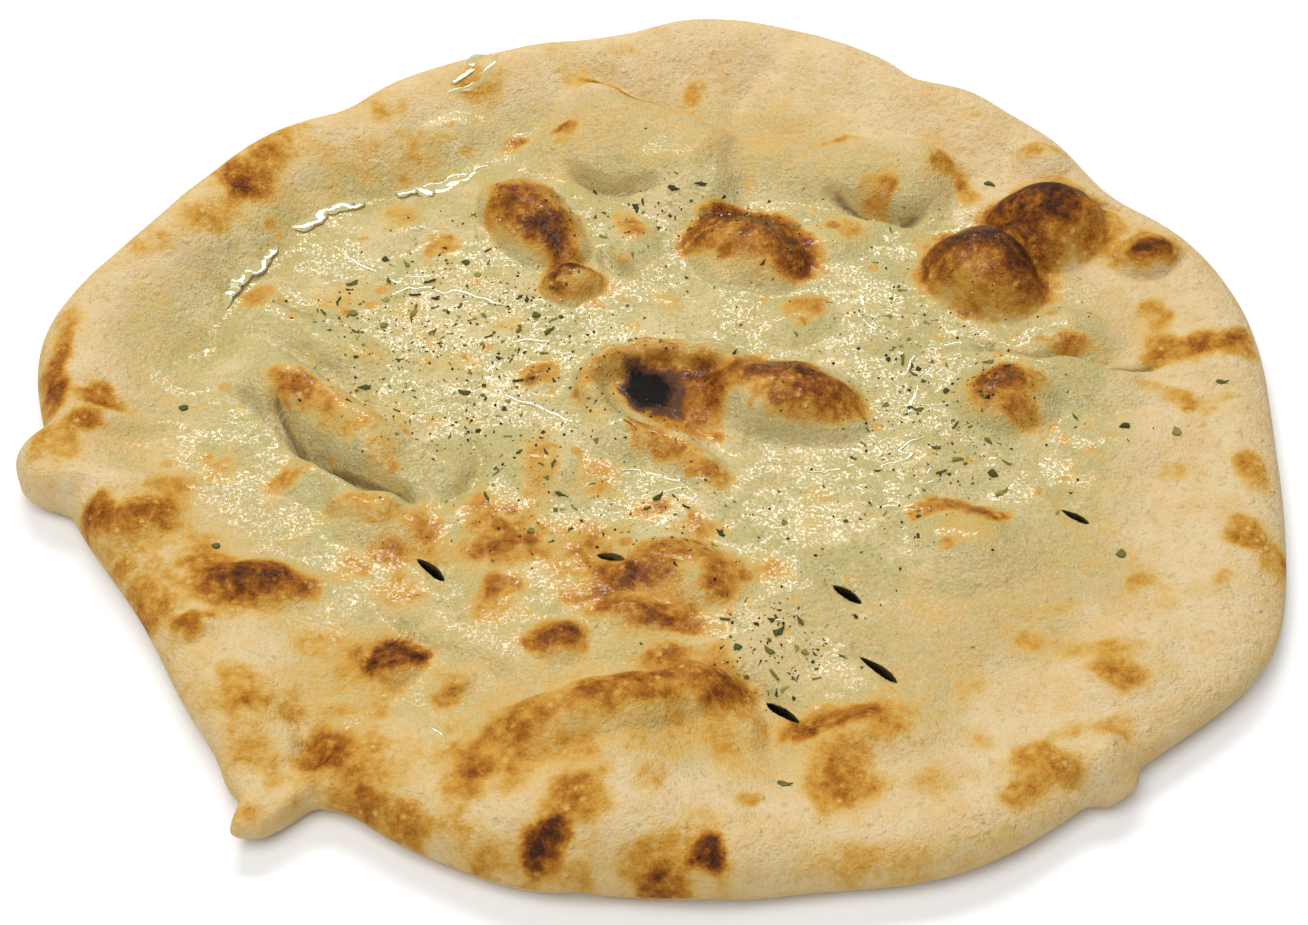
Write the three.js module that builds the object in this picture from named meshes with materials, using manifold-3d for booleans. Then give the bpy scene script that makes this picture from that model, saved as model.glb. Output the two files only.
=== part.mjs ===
// Flat oven bread: a hand-stretched pizza base, baked until blistered, cut with short slits and strewn with
// herb flakes.
// One solid, in millimetres. +Z is up, the flat underside lies on z = 0, the bread's front is -Y.
import * as THREE from 'three';
import Module from 'manifold-3d';

// --- plan outline: an oval leaning to one side, with named bulges and dents -------------------------------
const OVAL = { halfWidth: 154, halfDepth: 140, lean: 7, leanAt: 315 };
const OUTLINE = [
  { name: 'back right dent', at: 30, spread: 6, out: -8 },
  { name: 'back right flat', at: 43, spread: 5, out: -1.5 },
  { name: 'back shoulder dent', at: 56.5, spread: 2.6, out: -4 },
  { name: 'back swell', at: 76, spread: 9, out: 7.6 },
  { name: 'back crown', at: 86, spread: 4, out: 3.4 },
  { name: 'back left dent', at: 131, spread: 4.2, out: -4.5 },
  { name: 'left swell', at: 173.5, spread: 7.5, out: 8.6 },
  { name: 'left knob', at: 190.2, spread: 3.6, out: 9, blunt: true },
  { name: 'front left flat', at: 210, spread: 11, out: -10.5 },
  { name: 'tail root', at: 232.6, spread: 2.6, out: 5 },
  { name: 'tail', at: 235.4, spread: 2, out: 9.5, blunt: true },
  { name: 'tail notch', at: 240.5, spread: 3.4, out: -4 },
  { name: 'front left dent', at: 248, spread: 7, out: -4.2 },
  { name: 'front dent', at: 268, spread: 6, out: -3.2 },
  { name: 'front flat', at: 283, spread: 6, out: -2.4 },
  { name: 'front swell', at: 298, spread: 7, out: 2.2 },
  { name: 'front right knob', at: 311.8, spread: 2.2, out: 3.4, blunt: true },
  { name: 'right swell', at: 330, spread: 7, out: 6.4 },
  { name: 'right dent', at: 355, spread: 8, out: -3.8 },
];

// --- crust section ----------------------------------------------------------------------------------------
const FLOOR = 8.6;            // height of the flat middle
const EDGE_MID = 5.2;         // height of the widest line round the edge
const EDGE_ROUND = 11;        // how far in the top of the edge rounds over
const UNDER_ROUND = 7;        // how far in the underside rounds to the flat
const RIM = { height: 14.2, swing: 2.2, swingAt: 140, fall: 22 };
const RIMS = [
  { name: 'back left roll', at: 145, spread: 24, rise: 2.4, wider: 9 },
  { name: 'left side', at: 182, spread: 12, rise: 0.6, wider: 5 },
  { name: 'front left', at: 215, spread: 14, rise: -2.4, wider: 2 },
  { name: 'tail pinch', at: 234.5, spread: 4, rise: -2.6, wider: 0 },
  { name: 'front hump edge', at: 268, spread: 13, rise: 2.4, wider: 5 },
  { name: 'right side', at: 350, spread: 22, rise: -0.8, wider: 3 },
  { name: 'back right', at: 38, spread: 10, rise: 1, wider: 0 },
  { name: 'back', at: 85, spread: 14, rise: 1.2, wider: 6 },
];
const LIFTS = [
  { name: 'front gap left', at: 263.5, spread: 1.6, up: 1.8 },
  { name: 'front gap right', at: 275, spread: 2, up: 1.6 },
  { name: 'tail tip', at: 234.8, spread: 2, up: 1.6 },
  { name: 'left knob', at: 190.4, spread: 2, up: 1.2 },
];
const UNDULATION = 0.55;
const PUSH = 0.7;             // how far ovals and paths are pushed about, as uneven as dough
const THINNEST = 3.2;         // height that no crease goes below

// --- baked relief: blisters, folds, creases and slits -----------------------------------------------------
// A dome is an oval blister; 'puff' under 1 is round-topped and steep-sided, 2 is a soft swelling.
const DOMES = [
  { name: 'long brown blister', at: [-32, 59.5], half: [20, 12], turn: -54, rise: 10, puff: 0.85 },
  { name: 'small dark blister', at: [-20.5, 37], half: [8.5, 6.8], turn: 10, rise: 5.6, puff: 0.85 },
  { name: 'arched blister', at: [25, 48.2], half: [17.5, 14.4], turn: -33, rise: 8.5, puff: 1.1 },
  { name: 'right black blister', at: [87.5, 39.5], half: [17, 14.5], turn: -25, rise: 14, puff: 0.85 },
  { name: 'back right black blister', at: [105.5, 56], half: [16, 13], turn: -4, rise: 13, puff: 0.85 },
  { name: 'edge blister', at: [129, 44], half: [9.5, 6.6], turn: 0, rise: 5.6, puff: 0.9 },
  { name: 'right brown blister', at: [88, -4], half: [14, 10.5], turn: -8, rise: 6, puff: 1.2 },
  { name: 'middle blister', at: [34, -4.4], half: [21.5, 13.6], turn: -17, rise: 10.2, puff: 0.95 },
  { name: 'edge bump', at: [106, 79], half: [9, 7], turn: -20, rise: 3, puff: 1.4 },
  { name: 'right mound', at: [107, 19], half: [15, 10], turn: -10, rise: 4, puff: 1.5 },
  { name: 'tan swelling', at: [-27, -25], half: [11, 11], turn: 0, rise: 2.4, puff: 1.6 },
  { name: 'orange swelling', at: [6, -57], half: [20, 11], turn: -8, rise: 4.2, puff: 1.2 },
  { name: 'low orange swelling', at: [-3, -70], half: [12, 5.5], turn: 0, rise: 2.2, puff: 1.3 },
  { name: 'brown button', at: [-21, -77], half: [8.5, 6.5], turn: 10, rise: 2.8, puff: 1.1 },
  { name: 'dark button', at: [-58.5, -84], half: [6.2, 5.4], turn: 0, rise: 3.4, puff: 0.9 },
  { name: 'small button', at: [-45, -90.5], half: [5.5, 5], turn: 30, rise: 2, puff: 1.2 },
  { name: 'left brown swelling', at: [-91, -62], half: [18, 8], turn: 2, rise: 3.4, puff: 1.3 },
  { name: 'left front crescent', at: [-105, -76], half: [6, 4.5], turn: 0, rise: 1.6, puff: 1.3 },
  { name: 'left edge swelling', at: [-122, -46], half: [12, 8], turn: 25, rise: 2.2, puff: 1.6 },
  { name: 'pale left swelling', at: [-66, -42], half: [14, 8.5], turn: -14, rise: 3.4, puff: 1.2 },
  { name: 'right front swelling', at: [75, -52], half: [18, 13], turn: 0, rise: 3.6, puff: 1.3 },
  { name: 'pale top swelling', at: [-68, 56], half: [12, 9], turn: 20, rise: 2.4, puff: 1.5 },
  { name: 'middle back swelling', at: [-5, 52], half: [8, 9], turn: -10, rise: 2.6, puff: 1.3 },
  { name: 'oily swelling', at: [48, 52], half: [11, 8], turn: 0, rise: 2, puff: 1.6 },
  { name: 'left rim swelling', at: [-121, 48], half: [13, 11], turn: 60, rise: 2, puff: 1.6 },
  { name: 'orange dot', at: [-27.5, 5], half: [5.5, 5], turn: 0, rise: 1.6, puff: 1.2 },
  { name: 'front hump', at: [-8, -110], half: [38, 28], turn: 4, rise: 6.4, puff: 1.2 },
  { name: 'back plateau', at: [64, 102], half: [38, 23], turn: -22, rise: 3.2, puff: 0.8 },
  { name: 'tongue', at: [-52, -26], half: [9, 8], turn: -30, rise: 2.2, puff: 1.2 },
  { name: 'low swelling by the roll', at: [-78, 12], half: [15, 8], turn: -24, rise: 2.2, puff: 1.5 },
  { name: 'low middle swelling', at: [38, 24], half: [12, 9], turn: 20, rise: 2, puff: 1.5 },
  { name: 'low right swelling', at: [118, -18], half: [21, 13], turn: 10, rise: 2.2, puff: 1.8 },
  { name: 'low front right swelling', at: [106, -84], half: [18, 13], turn: 30, rise: 2.4, puff: 1.7 },
  { name: 'low back swelling', at: [-52, 92], half: [15, 8], turn: 10, rise: 2.4, puff: 1.4 },
  { name: 'low front swelling', at: [48, -104], half: [17, 9], turn: 4, rise: 2.2, puff: 1.6 },
];
// A fold runs along a path; 'left' and 'right' are its reach to either side of the way the path runs.
const RIDGES = [
  { name: 'crater ring',
    path: [[-14, -9], [-16.5, -3], [-15.5, 4], [-10, 10.5], [-2, 13], [6, 13], [14, 11.5], [24, 8.5]],
    left: 3.6, right: 4.6, rise: 4, ends: 8, puff: 0.9 },
  { name: 'crater lip', path: [[-15, -8], [-9, -12.5], [0, -16], [7, -20], [14, -26], [20, -31]],
    left: 4.4, right: 7.5, rise: 3.6, ends: 12, puff: 1.1 },
  { name: 'left roll',
    path: [[-104, 12], [-96, 7.5], [-89, 0.5], [-80, -8], [-70, -15.5], [-61, -22], [-53, -26]],
    left: 6, right: 12.5, rise: 8.4, ends: 22, puff: 0.62 },
  { name: 'left flap lip', path: [[-88, -23], [-82, -28], [-75, -31.5], [-66, -35.5], [-57, -39]],
    left: 3, right: 9, rise: 2.8, ends: 10, puff: 1 },
  { name: 'back fold',
    path: [[-27, 108], [-17, 103], [-9, 99.5], [-1, 97.5], [6, 92.5], [13, 87], [20, 83], [29, 80]],
    left: 11, right: 28, rise: 8.6, ends: 18, puff: 1.05 },
  { name: 'back fold right', path: [[40, 83], [50, 82], [62, 79], [74, 75.5], [84, 71]],
    left: 12, right: 15.5, rise: 7, ends: 14, puff: 0.85 },
  { name: 'back fold join', path: [[22, 83], [36, 83], [50, 81]],
    left: 10, right: 15, rise: 4.2, ends: 12, puff: 1.2 },
  { name: 'hump brow',
    path: [[-38, -106], [-27, -103], [-14, -98], [-1, -94], [8, -90], [15, -92], [20, -97]],
    left: 8, right: 11.5, rise: 5.2, ends: 14, puff: 1.1 },
  { name: 'hump crown', path: [[-30, -106], [-12, -103], [8, -101]],
    left: 14, right: 20, rise: 3.2, ends: 22, puff: 1.4 },
  { name: 'front bank', path: [[33, -104], [52, -107], [74, -104]],
    left: 11, right: 16, rise: 3, ends: 18, puff: 1.3 },
  { name: 'right front brow', path: [[60, -42], [73, -41.5], [87, -42]],
    left: 6, right: 16, rise: 2.4, ends: 10, puff: 1.2 },
  { name: 'small left fold', path: [[-104, 32], [-92, 26], [-80, 22]],
    left: 4, right: 11, rise: 2.6, ends: 9, puff: 1 },
  { name: 'right fold', path: [[82, 11], [97, 7], [112, 5.5], [128, 7]],
    left: 3.4, right: 13, rise: 3.2, ends: 12, puff: 1 },
  { name: 'knob fold', path: [[84, -111], [97, -112], [106, -106]],
    left: 4, right: 6, rise: 2.2, ends: 7, puff: 1 },
];
// A crease runs along a path and sinks the crust.
const CREASES = [
  { name: 'left channel',
    path: [[-118, 2], [-113, 24], [-104, 44], [-95, 60], [-84, 69], [-62, 75], [-46, 82]],
    wide: 7, deep: 2.2, ends: 16 },
  { name: 'roll foot',
    path: [[-95, -4], [-89, -15.4], [-84, -21.4], [-76.5, -26.4], [-69, -29.9], [-61.5, -33.4],
      [-55.5, -36.2]],
    wide: 2, deep: 4.6, ends: 7 },
  { name: 'roll back', path: [[-98, 16], [-88, 9], [-76, -1], [-62, -13], [-54, -17]],
    wide: 3, deep: 1.6, ends: 10 },
  { name: 'pocket rim', path: [[-43.5, -14], [-42, -23], [-44.5, -31.5], [-50, -38]],
    wide: 1.7, deep: 1.8, ends: 6 },
  { name: 'back fold foot', path: [[-24, 79], [-16, 75], [-8, 72.5], [2, 72]],
    wide: 1.9, deep: 3.4, ends: 7 },
  { name: 'back fold right foot', path: [[46, 72], [53, 67], [59, 63.5], [67, 61.5], [76, 64]],
    wide: 1.9, deep: 4, ends: 8 },
  { name: 'back fold valley', path: [[34, 124], [27, 112], [24, 102], [27, 92]],
    wide: 5, deep: 2.4, ends: 9 },
  { name: 'left shelf', path: [[-147, -3], [-138, -6], [-130, -9], [-123, -10]],
    wide: 2.4, deep: 1.4, ends: 7 },
  { name: 'behind the fold', path: [[-18, 116], [-6, 110], [6, 102], [17, 95]],
    wide: 4, deep: 1.8, ends: 10 },
  { name: 'blister crease', path: [[-14, 49], [-11, 44], [-6, 41]], wide: 1.8, deep: 3, ends: 4 },
  { name: 'small left crease', path: [[-98, 31], [-90, 27], [-85, 24]], wide: 1.6, deep: 2.4, ends: 5 },
  { name: 'right crease', path: [[82, 15], [92, 12], [101, 10], [112, 10]], wide: 1.6, deep: 3, ends: 7 },
  { name: 'right edge crease', path: [[114, 8], [122, 7], [130, 10]], wide: 1.6, deep: 2.8, ends: 5 },
  { name: 'edge crack', path: [[119, 62], [124, 61], [129, 57]], wide: 1.6, deep: 2.4, ends: 4 },
  { name: 'bump crease', path: [[94, 88], [97, 82], [96, 74]], wide: 2.6, deep: 1.6, ends: 6 },
  { name: 'wrinkle', path: [[-63, -67], [-57.5, -73], [-51, -77], [-44.5, -81], [-38, -83.5], [-31, -89]],
    wide: 1.3, deep: 1.4, ends: 8 },
  { name: 'hump foot', path: [[-30, -93], [-14, -88], [-2, -84], [9, -82]],
    wide: 3.4, deep: 1.4, ends: 10 },
  { name: 'hump side', path: [[17, -86], [24, -93], [27, -103], [28, -112]],
    wide: 3.2, deep: 2.4, ends: 8 },
  { name: 'tail fold', path: [[-74, -114], [-77, -104], [-82, -96]], wide: 2.4, deep: 2.4, ends: 6 },
  { name: 'pale fold', path: [[-80, -33], [-79, -37], [-76, -42]], wide: 1.6, deep: 1.2, ends: 4 },
  { name: 'crater mouth', path: [[4, -6], [11, -12], [19, -19], [26, -23]], wide: 4, deep: 2.6, ends: 9 },
  { name: 'blister seam', path: [[97, 50], [100, 44], [103, 38]], wide: 1.8, deep: 2, ends: 4 },
];
const SLIT_DIP = { deep: 1.5, near: 2.2, behind: 3.8 };
const PITS = [{ name: 'burst floor', at: [-2.5, 1], half: [14, 11], turn: -42, rise: 4.2, puff: 1.1 }];
// A slit goes right through; its two ends are given, and how wide it gapes. The crust behind it dips into it.
const SLITS = [
  { name: 'left slit', from: [-55.5, -53], to: [-48.6, -59.4], gape: 3 },
  { name: 'middle slit', from: [-13, -51.5], to: [-6.2, -55.2], gape: 2.6 },
  { name: 'right slit', from: [42.6, -60.2], to: [49.2, -65.4], gape: 2.9 },
  { name: 'long slit', from: [47.8, -80.6], to: [55.8, -88.6], gape: 3.2 },
  { name: 'torn slit', from: [26, -92.3], to: [33.2, -99.2], gape: 2.6 },
  { name: 'far right slit', from: [98.8, -37.6], to: [105.2, -42], gape: 2.3 },
];

// --- herb flakes ------------------------------------------------------------------------------------------
const FLAKE = {
  shortest: 3, longest: 4.8, slim: 0.46, thick: 1.6, sunk: 1.1,
  apart: 5.5, offSlit: 9, steepest: 1.6, tries: 90, seed: 41,
};
const FLAKE_PATCHES = [
  { name: 'left of the middle', at: [-55, 20], half: [30, 26], count: 22 },
  { name: 'behind the left blister', at: [-70, 38], half: [16, 14], count: 5 },
  { name: 'below the back fold', at: [5, 62], half: [34, 8], count: 6 },
  { name: 'right of the middle', at: [70, -12], half: [20, 22], count: 11 },
  { name: 'between the slits', at: [28, -80], half: [12, 10], count: 8 },
  { name: 'front of the middle', at: [-10, -42], half: [34, 8], count: 6 },
];
const NAMED_FLAKES = [
  { name: 'left of the pocket', at: [-47, -1], turn: 35, long: 4.6 },
  { name: 'far left', at: [-117, -6], turn: -30, long: 4.2 },
  { name: 'right pair left', at: [117, -14], turn: 60, long: 4.4 },
  { name: 'right pair right', at: [129, -16], turn: 50, long: 4.8 },
  { name: 'right edge', at: [143, 0], turn: -25, long: 3.8 },
  { name: 'by the far slit', at: [111, -52], turn: -10, long: 4.4 },
  { name: 'right front pair', at: [85, -33], turn: 10, long: 4.6 },
  { name: 'left front', at: [-103, -51], turn: -10, long: 3.6 },
  { name: 'front', at: [29, -117], turn: 60, long: 4.2 },
  { name: 'back right', at: [92, 74], turn: -60, long: 4.4 },
];

const GRID = 128;             // cells along each side of the grid the top is drawn on
const EDGE_BAND = 0.88;       // share of the grid inside the rounded edge
const FLATNESS = 0.42;        // how far a facet may stand off the crust

const rad = (deg) => (deg * Math.PI) / 180;
const clamp = (v, lo, hi) => Math.min(hi, Math.max(lo, v));
const bell = (d) => Math.exp(-d * d);
const smooth = (t) => { const c = clamp(t, 0, 1); return c * c * (3 - 2 * c); };

function turned(deg, at, spread) {
  const away = ((deg - at + 540) % 360) - 180;
  return bell(away / spread);
}

function bulge(b, deg) {
  const away = (((deg - b.at + 540) % 360) - 180) / b.spread;
  return b.out * (b.blunt ? Math.exp(-(away ** 4)) : Math.exp(-(away ** 2) / 2));
}

function edgeRadius(deg) {
  const a = rad(deg);
  let r = 1 / Math.hypot(Math.cos(a) / OVAL.halfWidth, Math.sin(a) / OVAL.halfDepth);
  r += OVAL.lean * Math.cos(rad(deg - OVAL.leanAt));
  for (const b of OUTLINE) r += bulge(b, deg);
  return r;
}

function alongPath(path, x, y) {
  let best = null, run = 0;
  const whole = path.slice(1).reduce((s, p, i) => s + Math.hypot(p[0] - path[i][0], p[1] - path[i][1]), 0);
  for (let i = 0; i + 1 < path.length; i++) {
    const [ax, ay] = path[i], [bx, by] = path[i + 1];
    const dx = bx - ax, dy = by - ay, len = Math.hypot(dx, dy);
    const raw = ((x - ax) * dx + (y - ay) * dy) / (len * len);
    const t = clamp(raw, 0, 1);
    const ox = x - ax - dx * t, oy = y - ay - dy * t, off = Math.hypot(ox, oy);
    if (!best || off < best.off) {
      const side = (dx * oy - dy * ox) / len;
      best = { off, side, from: run + len * t, to: whole - run - len * t };
    }
    run += len;
  }
  return best;
}

function domeHeight(d, x, y) {
  const c = Math.cos(rad(d.turn)), s = Math.sin(rad(d.turn));
  const dx = x - d.at[0], dy = y - d.at[1];
  const p = (dx * c + dy * s) / d.half[0], q = (-dx * s + dy * c) / d.half[1];
  const k = 1 - p * p - q * q;
  return k > 0 ? k ** d.puff : 0;
}

function ridgeHeight(r, x, y) {
  const hit = alongPath(r.path, x, y);
  if (hit.off > 40) return 0;
  const lean = 0.5 + 0.5 * clamp(hit.side / 2, -1, 1);
  const reach = r.right + (r.left - r.right) * lean;
  const fade = smooth((hit.from + 2) / r.ends) * smooth((hit.to + 2) / r.ends);
  return r.rise * Math.max(0, 1 - (hit.off / reach) ** 2) ** r.puff * fade;
}

function creaseDepth(c, x, y) {
  const hit = alongPath(c.path, x, y);
  if (hit.off > 30) return 0;
  const fade = smooth((hit.from + 2) / c.ends) * smooth((hit.to + 2) / c.ends);
  return c.deep * bell(hit.off / c.wide) * fade;
}

function slitDip(s, x, y) {
  const hit = alongPath([s.from, s.to], x, y);
  return SLIT_DIP.deep * bell(hit.off / (hit.side > 0 ? SLIT_DIP.behind : SLIT_DIP.near));
}

// Gentle unevenness of hand-stretched dough, from a few crossed waves.
function undulation(x, y) {
  return UNDULATION * (
    Math.sin(x * 0.071 + 1.3) * Math.cos(y * 0.083 - 0.4) +
    0.7 * Math.sin(x * 0.137 - y * 0.119 + 2.1) +
    0.5 * Math.sin(x * 0.213 + y * 0.187 + 0.6) * Math.cos(y * 0.151 - x * 0.097)
  );
}

// Height of blisters, folds and creases over the plain section.
function relief(px, py) {
  const x = px + PUSH * (Math.sin(py * 0.23 + px * 0.05 + 0.8) + 0.6 * Math.sin(py * 0.47 - px * 0.31 + 2.2));
  const y = py + PUSH * (Math.sin(px * 0.21 - py * 0.06 + 1.7) + 0.6 * Math.sin(px * 0.43 + py * 0.35 + 0.3));
  let up = 0;
  for (const r of RIDGES) up += ridgeHeight(r, x, y);
  for (const d of DOMES) up += d.rise * domeHeight(d, x, y);
  for (const c of CREASES) up -= creaseDepth(c, x, y);
  for (const p of PITS) up -= p.rise * domeHeight(p, x, y);
  for (const s of SLITS) up -= slitDip(s, x, y);
  return up;
}

// Height of the top crust at a plan point; 'inside' is how far it lies in from the edge.
function crustHeight(x, y, inside, deg) {
  let rise = RIM.height - FLOOR + RIM.swing * Math.cos(rad(deg - RIM.swingAt));
  let fall = RIM.fall;
  for (const r of RIMS) {
    const near = turned(deg, r.at, r.spread * 1.3);
    rise += r.rise * near;
    fall += r.wider * near;
  }
  const plain = FLOOR + Math.max(rise, 1) * (1 - smooth((inside - EDGE_ROUND * 0.8) / fall));
  const z = Math.max(plain + undulation(x, y) + relief(x, y), THINNEST);
  const t = clamp(inside / EDGE_ROUND, 0, 1);
  return EDGE_MID + (z - EDGE_MID) * Math.sqrt(1 - (1 - t) * (1 - t));
}

// The unit square laid over the bread: rings of the square become rings of the outline.
function planPoint(u, v) {
  const t = Math.max(Math.abs(u), Math.abs(v));
  const sideways = Math.abs(u) >= Math.abs(v);
  let a = 0;
  if (t > 0 && sideways) a = (v / u) * 45 + (u < 0 ? 180 : 0);
  if (t > 0 && !sideways) a = 90 - (u / v) * 45 + (v < 0 ? 180 : 0);
  const deg = (a + 360) % 360, radius = edgeRadius(deg);
  const r = t <= EDGE_BAND ? (t / EDGE_BAND) * (radius - EDGE_ROUND)
    : radius - EDGE_ROUND * (1 - Math.sin(rad(90 * (t - EDGE_BAND) / (1 - EDGE_BAND))));
  return { deg, r, inside: Math.max(0, radius - r), x: r * Math.cos(rad(deg)), y: r * Math.sin(rad(deg)) };
}

function topPoint(i, j) {
  const p = planPoint((2 * i) / GRID - 1, (2 * j) / GRID - 1);
  return [p.x, p.y, crustHeight(p.x, p.y, p.inside, p.deg) + edgeLift(p.deg, p.inside)];
}

function edgeLift(deg, inside) {
  const up = LIFTS.reduce((s, l) => s + l.up * turned(deg, l.at, l.spread * 1.4), 0);
  return 0.5 * up * (1 - smooth(inside / UNDER_ROUND));
}

// Right triangles halved only where the crust bends, so blisters and creases get the facets.
function crustFacets(points) {
  const side = GRID + 1, at = (i, j) => i * side + j;
  const off = new Float64Array(side * side), all = [];
  let level = [[0, 0, GRID, GRID, GRID, 0], [GRID, GRID, 0, 0, 0, GRID]];
  const splits = ([ax, ay, , , cx, cy]) => Math.abs(ax - cx) + Math.abs(ay - cy) > 1;
  const halves = ([ax, ay, bx, by, cx, cy]) => {
    const mx = (ax + bx) / 2, my = (ay + by) / 2;
    return [[cx, cy, ax, ay, mx, my], [bx, by, cx, cy, mx, my]];
  };
  while (level.length) {
    all.push(...level);
    level = level.filter(splits).flatMap(halves);
  }
  for (const tri of all.reverse()) {
    const [ax, ay, bx, by] = tri;
    if ((ax + bx) % 2 || (ay + by) % 2) continue;
    const m = at((ax + bx) / 2, (ay + by) / 2);
    const p = points[at(ax, ay)], q = points[at(bx, by)], mid = points[m];
    let e = Math.abs(mid[2] - (p[2] + q[2]) / 2);
    if ((ax === bx && (ax === 0 || ax === GRID)) || (ay === by && (ay === 0 || ay === GRID))) {
      e = Math.max(e, 1.2 * Math.hypot(mid[0] - (p[0] + q[0]) / 2, mid[1] - (p[1] + q[1]) / 2));
    }
    if (splits(tri)) for (const [cx, cy, dx, dy] of halves(tri)) {
      if ((cx + dx) % 2 === 0 && (cy + dy) % 2 === 0) e = Math.max(e, off[at((cx + dx) / 2, (cy + dy) / 2)]);
    }
    off[m] = Math.max(off[m], e);
  }
  const facets = [], stack = [[0, 0, GRID, GRID, GRID, 0], [GRID, GRID, 0, 0, 0, GRID]];
  while (stack.length) {
    const tri = stack.pop(), [ax, ay, bx, by, cx, cy] = tri;
    const whole = (ax + bx) % 2 === 0 && (ay + by) % 2 === 0;
    if (splits(tri) && whole && off[at((ax + bx) / 2, (ay + by) / 2)] > FLATNESS) stack.push(...halves(tri));
    else facets.push([at(ax, ay), at(cx, cy), at(bx, by)]);
  }
  return facets;
}

function breadMesh() {
  const side = GRID + 1, points = [];
  for (let i = 0; i < side; i++) for (let j = 0; j < side; j++) points.push(topPoint(i, j));
  const facets = crustFacets(points), used = new Set(facets.flat());
  const verts = [], place = new Map(), tris = [];
  for (const k of used) { place.set(k, verts.length); verts.push(points[k]); }
  for (const [a, b, c] of facets) tris.push([place.get(a), place.get(b), place.get(c)]);
  const loop = [];
  const visit = (i, j) => { if (used.has(i * side + j)) loop.push([i, j]); };
  for (let i = 0; i < GRID; i++) visit(i, 0);
  for (let j = 0; j < GRID; j++) visit(GRID, j);
  for (let i = GRID; i > 0; i--) visit(i, GRID);
  for (let j = GRID; j > 0; j--) visit(0, j);
  let ring = loop.map(([i, j]) => place.get(i * side + j));
  for (const turn of [45, 90]) {
    const next = loop.map(([i, j]) => {
      const p = planPoint((2 * i) / GRID - 1, (2 * j) / GRID - 1);
      const r = p.r - UNDER_ROUND * (1 - Math.cos(rad(turn)));
      const z = EDGE_MID * (1 - Math.sin(rad(turn))) + (turn < 90 ? edgeLift(p.deg, 0) * 1.6 : 0);
      verts.push([r * Math.cos(rad(p.deg)), r * Math.sin(rad(p.deg)), z]);
      return verts.length - 1;
    });
    ring.forEach((a, k) => {
      const b = ring[(k + 1) % ring.length], c = next[(k + 1) % ring.length], d = next[k];
      tris.push([a, c, b], [a, d, c]);
    });
    ring = next;
  }
  verts.push([0, 0, 0]);
  ring.forEach((a, k) => tris.push([a, verts.length - 1, ring[(k + 1) % ring.length]]));
  return { verts, tris };
}

function surfaceAt(x, y) {
  const deg = ((Math.atan2(y, x) * 180) / Math.PI + 360) % 360;
  return crustHeight(x, y, edgeRadius(deg) - Math.hypot(x, y), deg);
}

function seeded(seed) {
  let s = seed >>> 0;
  return () => {
    s = (s + 0x6d2b79f5) >>> 0;
    let t = Math.imul(s ^ (s >>> 15), s | 1);
    t ^= t + Math.imul(t ^ (t >>> 7), t | 61);
    return ((t ^ (t >>> 14)) >>> 0) / 4294967296;
  };
}

// A flake is a thin pointed leaf lying on the crust, a little sunk in.
function flakeMesh(x, y, turn, long) {
  const c = Math.cos(rad(turn)), s = Math.sin(rad(turn)), w = long * FLAKE.slim;
  const plan = [[-long / 2, 0], [-long * 0.08, -w / 2], [long / 2, w * 0.1], [long * 0.06, w / 2]];
  const foot = plan.map(([p, q]) => {
    const px = x + p * c - q * s, py = y + p * s + q * c;
    return [px, py, surfaceAt(px, py) - FLAKE.sunk];
  });
  const verts = [...foot, ...foot.map(([px, py, pz]) => [px, py, pz + FLAKE.thick])];
  const tris = [[0, 2, 1], [0, 3, 2], [4, 5, 6], [4, 6, 7]];
  for (let k = 0; k < 4; k++) {
    const m = (k + 1) % 4;
    tris.push([k, m, m + 4], [k, m + 4, k + 4]);
  }
  return { verts, tris };
}

function flakePlaces() {
  const places = NAMED_FLAKES.map((f) => ({ x: f.at[0], y: f.at[1], turn: f.turn, long: f.long }));
  FLAKE_PATCHES.forEach((patch, i) => {
    const next = seeded(FLAKE.seed + i);
    let laid = 0;
    for (let tries = 0; laid < patch.count && tries < FLAKE.tries; tries++) {
      const x = patch.at[0] + (2 * next() - 1) * patch.half[0];
      const y = patch.at[1] + (2 * next() - 1) * patch.half[1];
      const turn = 360 * next(), long = FLAKE.shortest + (FLAKE.longest - FLAKE.shortest) * next() ** 1.5;
      const clear = places.every((p) => Math.hypot(p.x - x, p.y - y) > FLAKE.apart) && SLITS.every((s) =>
        Math.hypot((s.from[0] + s.to[0]) / 2 - x, (s.from[1] + s.to[1]) / 2 - y) > FLAKE.offSlit);
      const tilt = Math.abs(surfaceAt(x + 1, y) - surfaceAt(x - 1, y))
        + Math.abs(surfaceAt(x, y + 1) - surfaceAt(x, y - 1));
      if (!clear || tilt >= FLAKE.steepest) continue;
      places.push({ x, y, turn, long });
      laid++;
    }
  });
  return places;
}

// A slit cutter is an upright lens-shaped blade, wider in the middle than at its ends.
function slitMesh(s) {
  const dx = s.to[0] - s.from[0], dy = s.to[1] - s.from[1], len = Math.hypot(dx, dy);
  const sides = [[0, 0], [0.3, -0.42], [0.72, -0.38], [1, 0], [0.66, 0.46], [0.24, 0.36]];
  const ring = sides.map(([t, q]) => {
    const out = (q * s.gape) / len;
    return [s.from[0] + dx * t - dy * out, s.from[1] + dy * t + dx * out];
  });
  const n = ring.length, tris = [];
  const verts = [...ring.map(([x, y]) => [x, y, -5]), ...ring.map(([x, y]) => [x, y, 40])];
  for (let k = 1; k + 1 < n; k++) tris.push([0, k + 1, k], [n, n + k, n + k + 1]);
  for (let k = 0; k < n; k++) {
    const m = (k + 1) % n;
    tris.push([k, m, n + m], [k, n + m, n + k]);
  }
  return { verts, tris };
}

const wasm = await Module();
wasm.setup();
const { Manifold, Mesh } = wasm;

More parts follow.
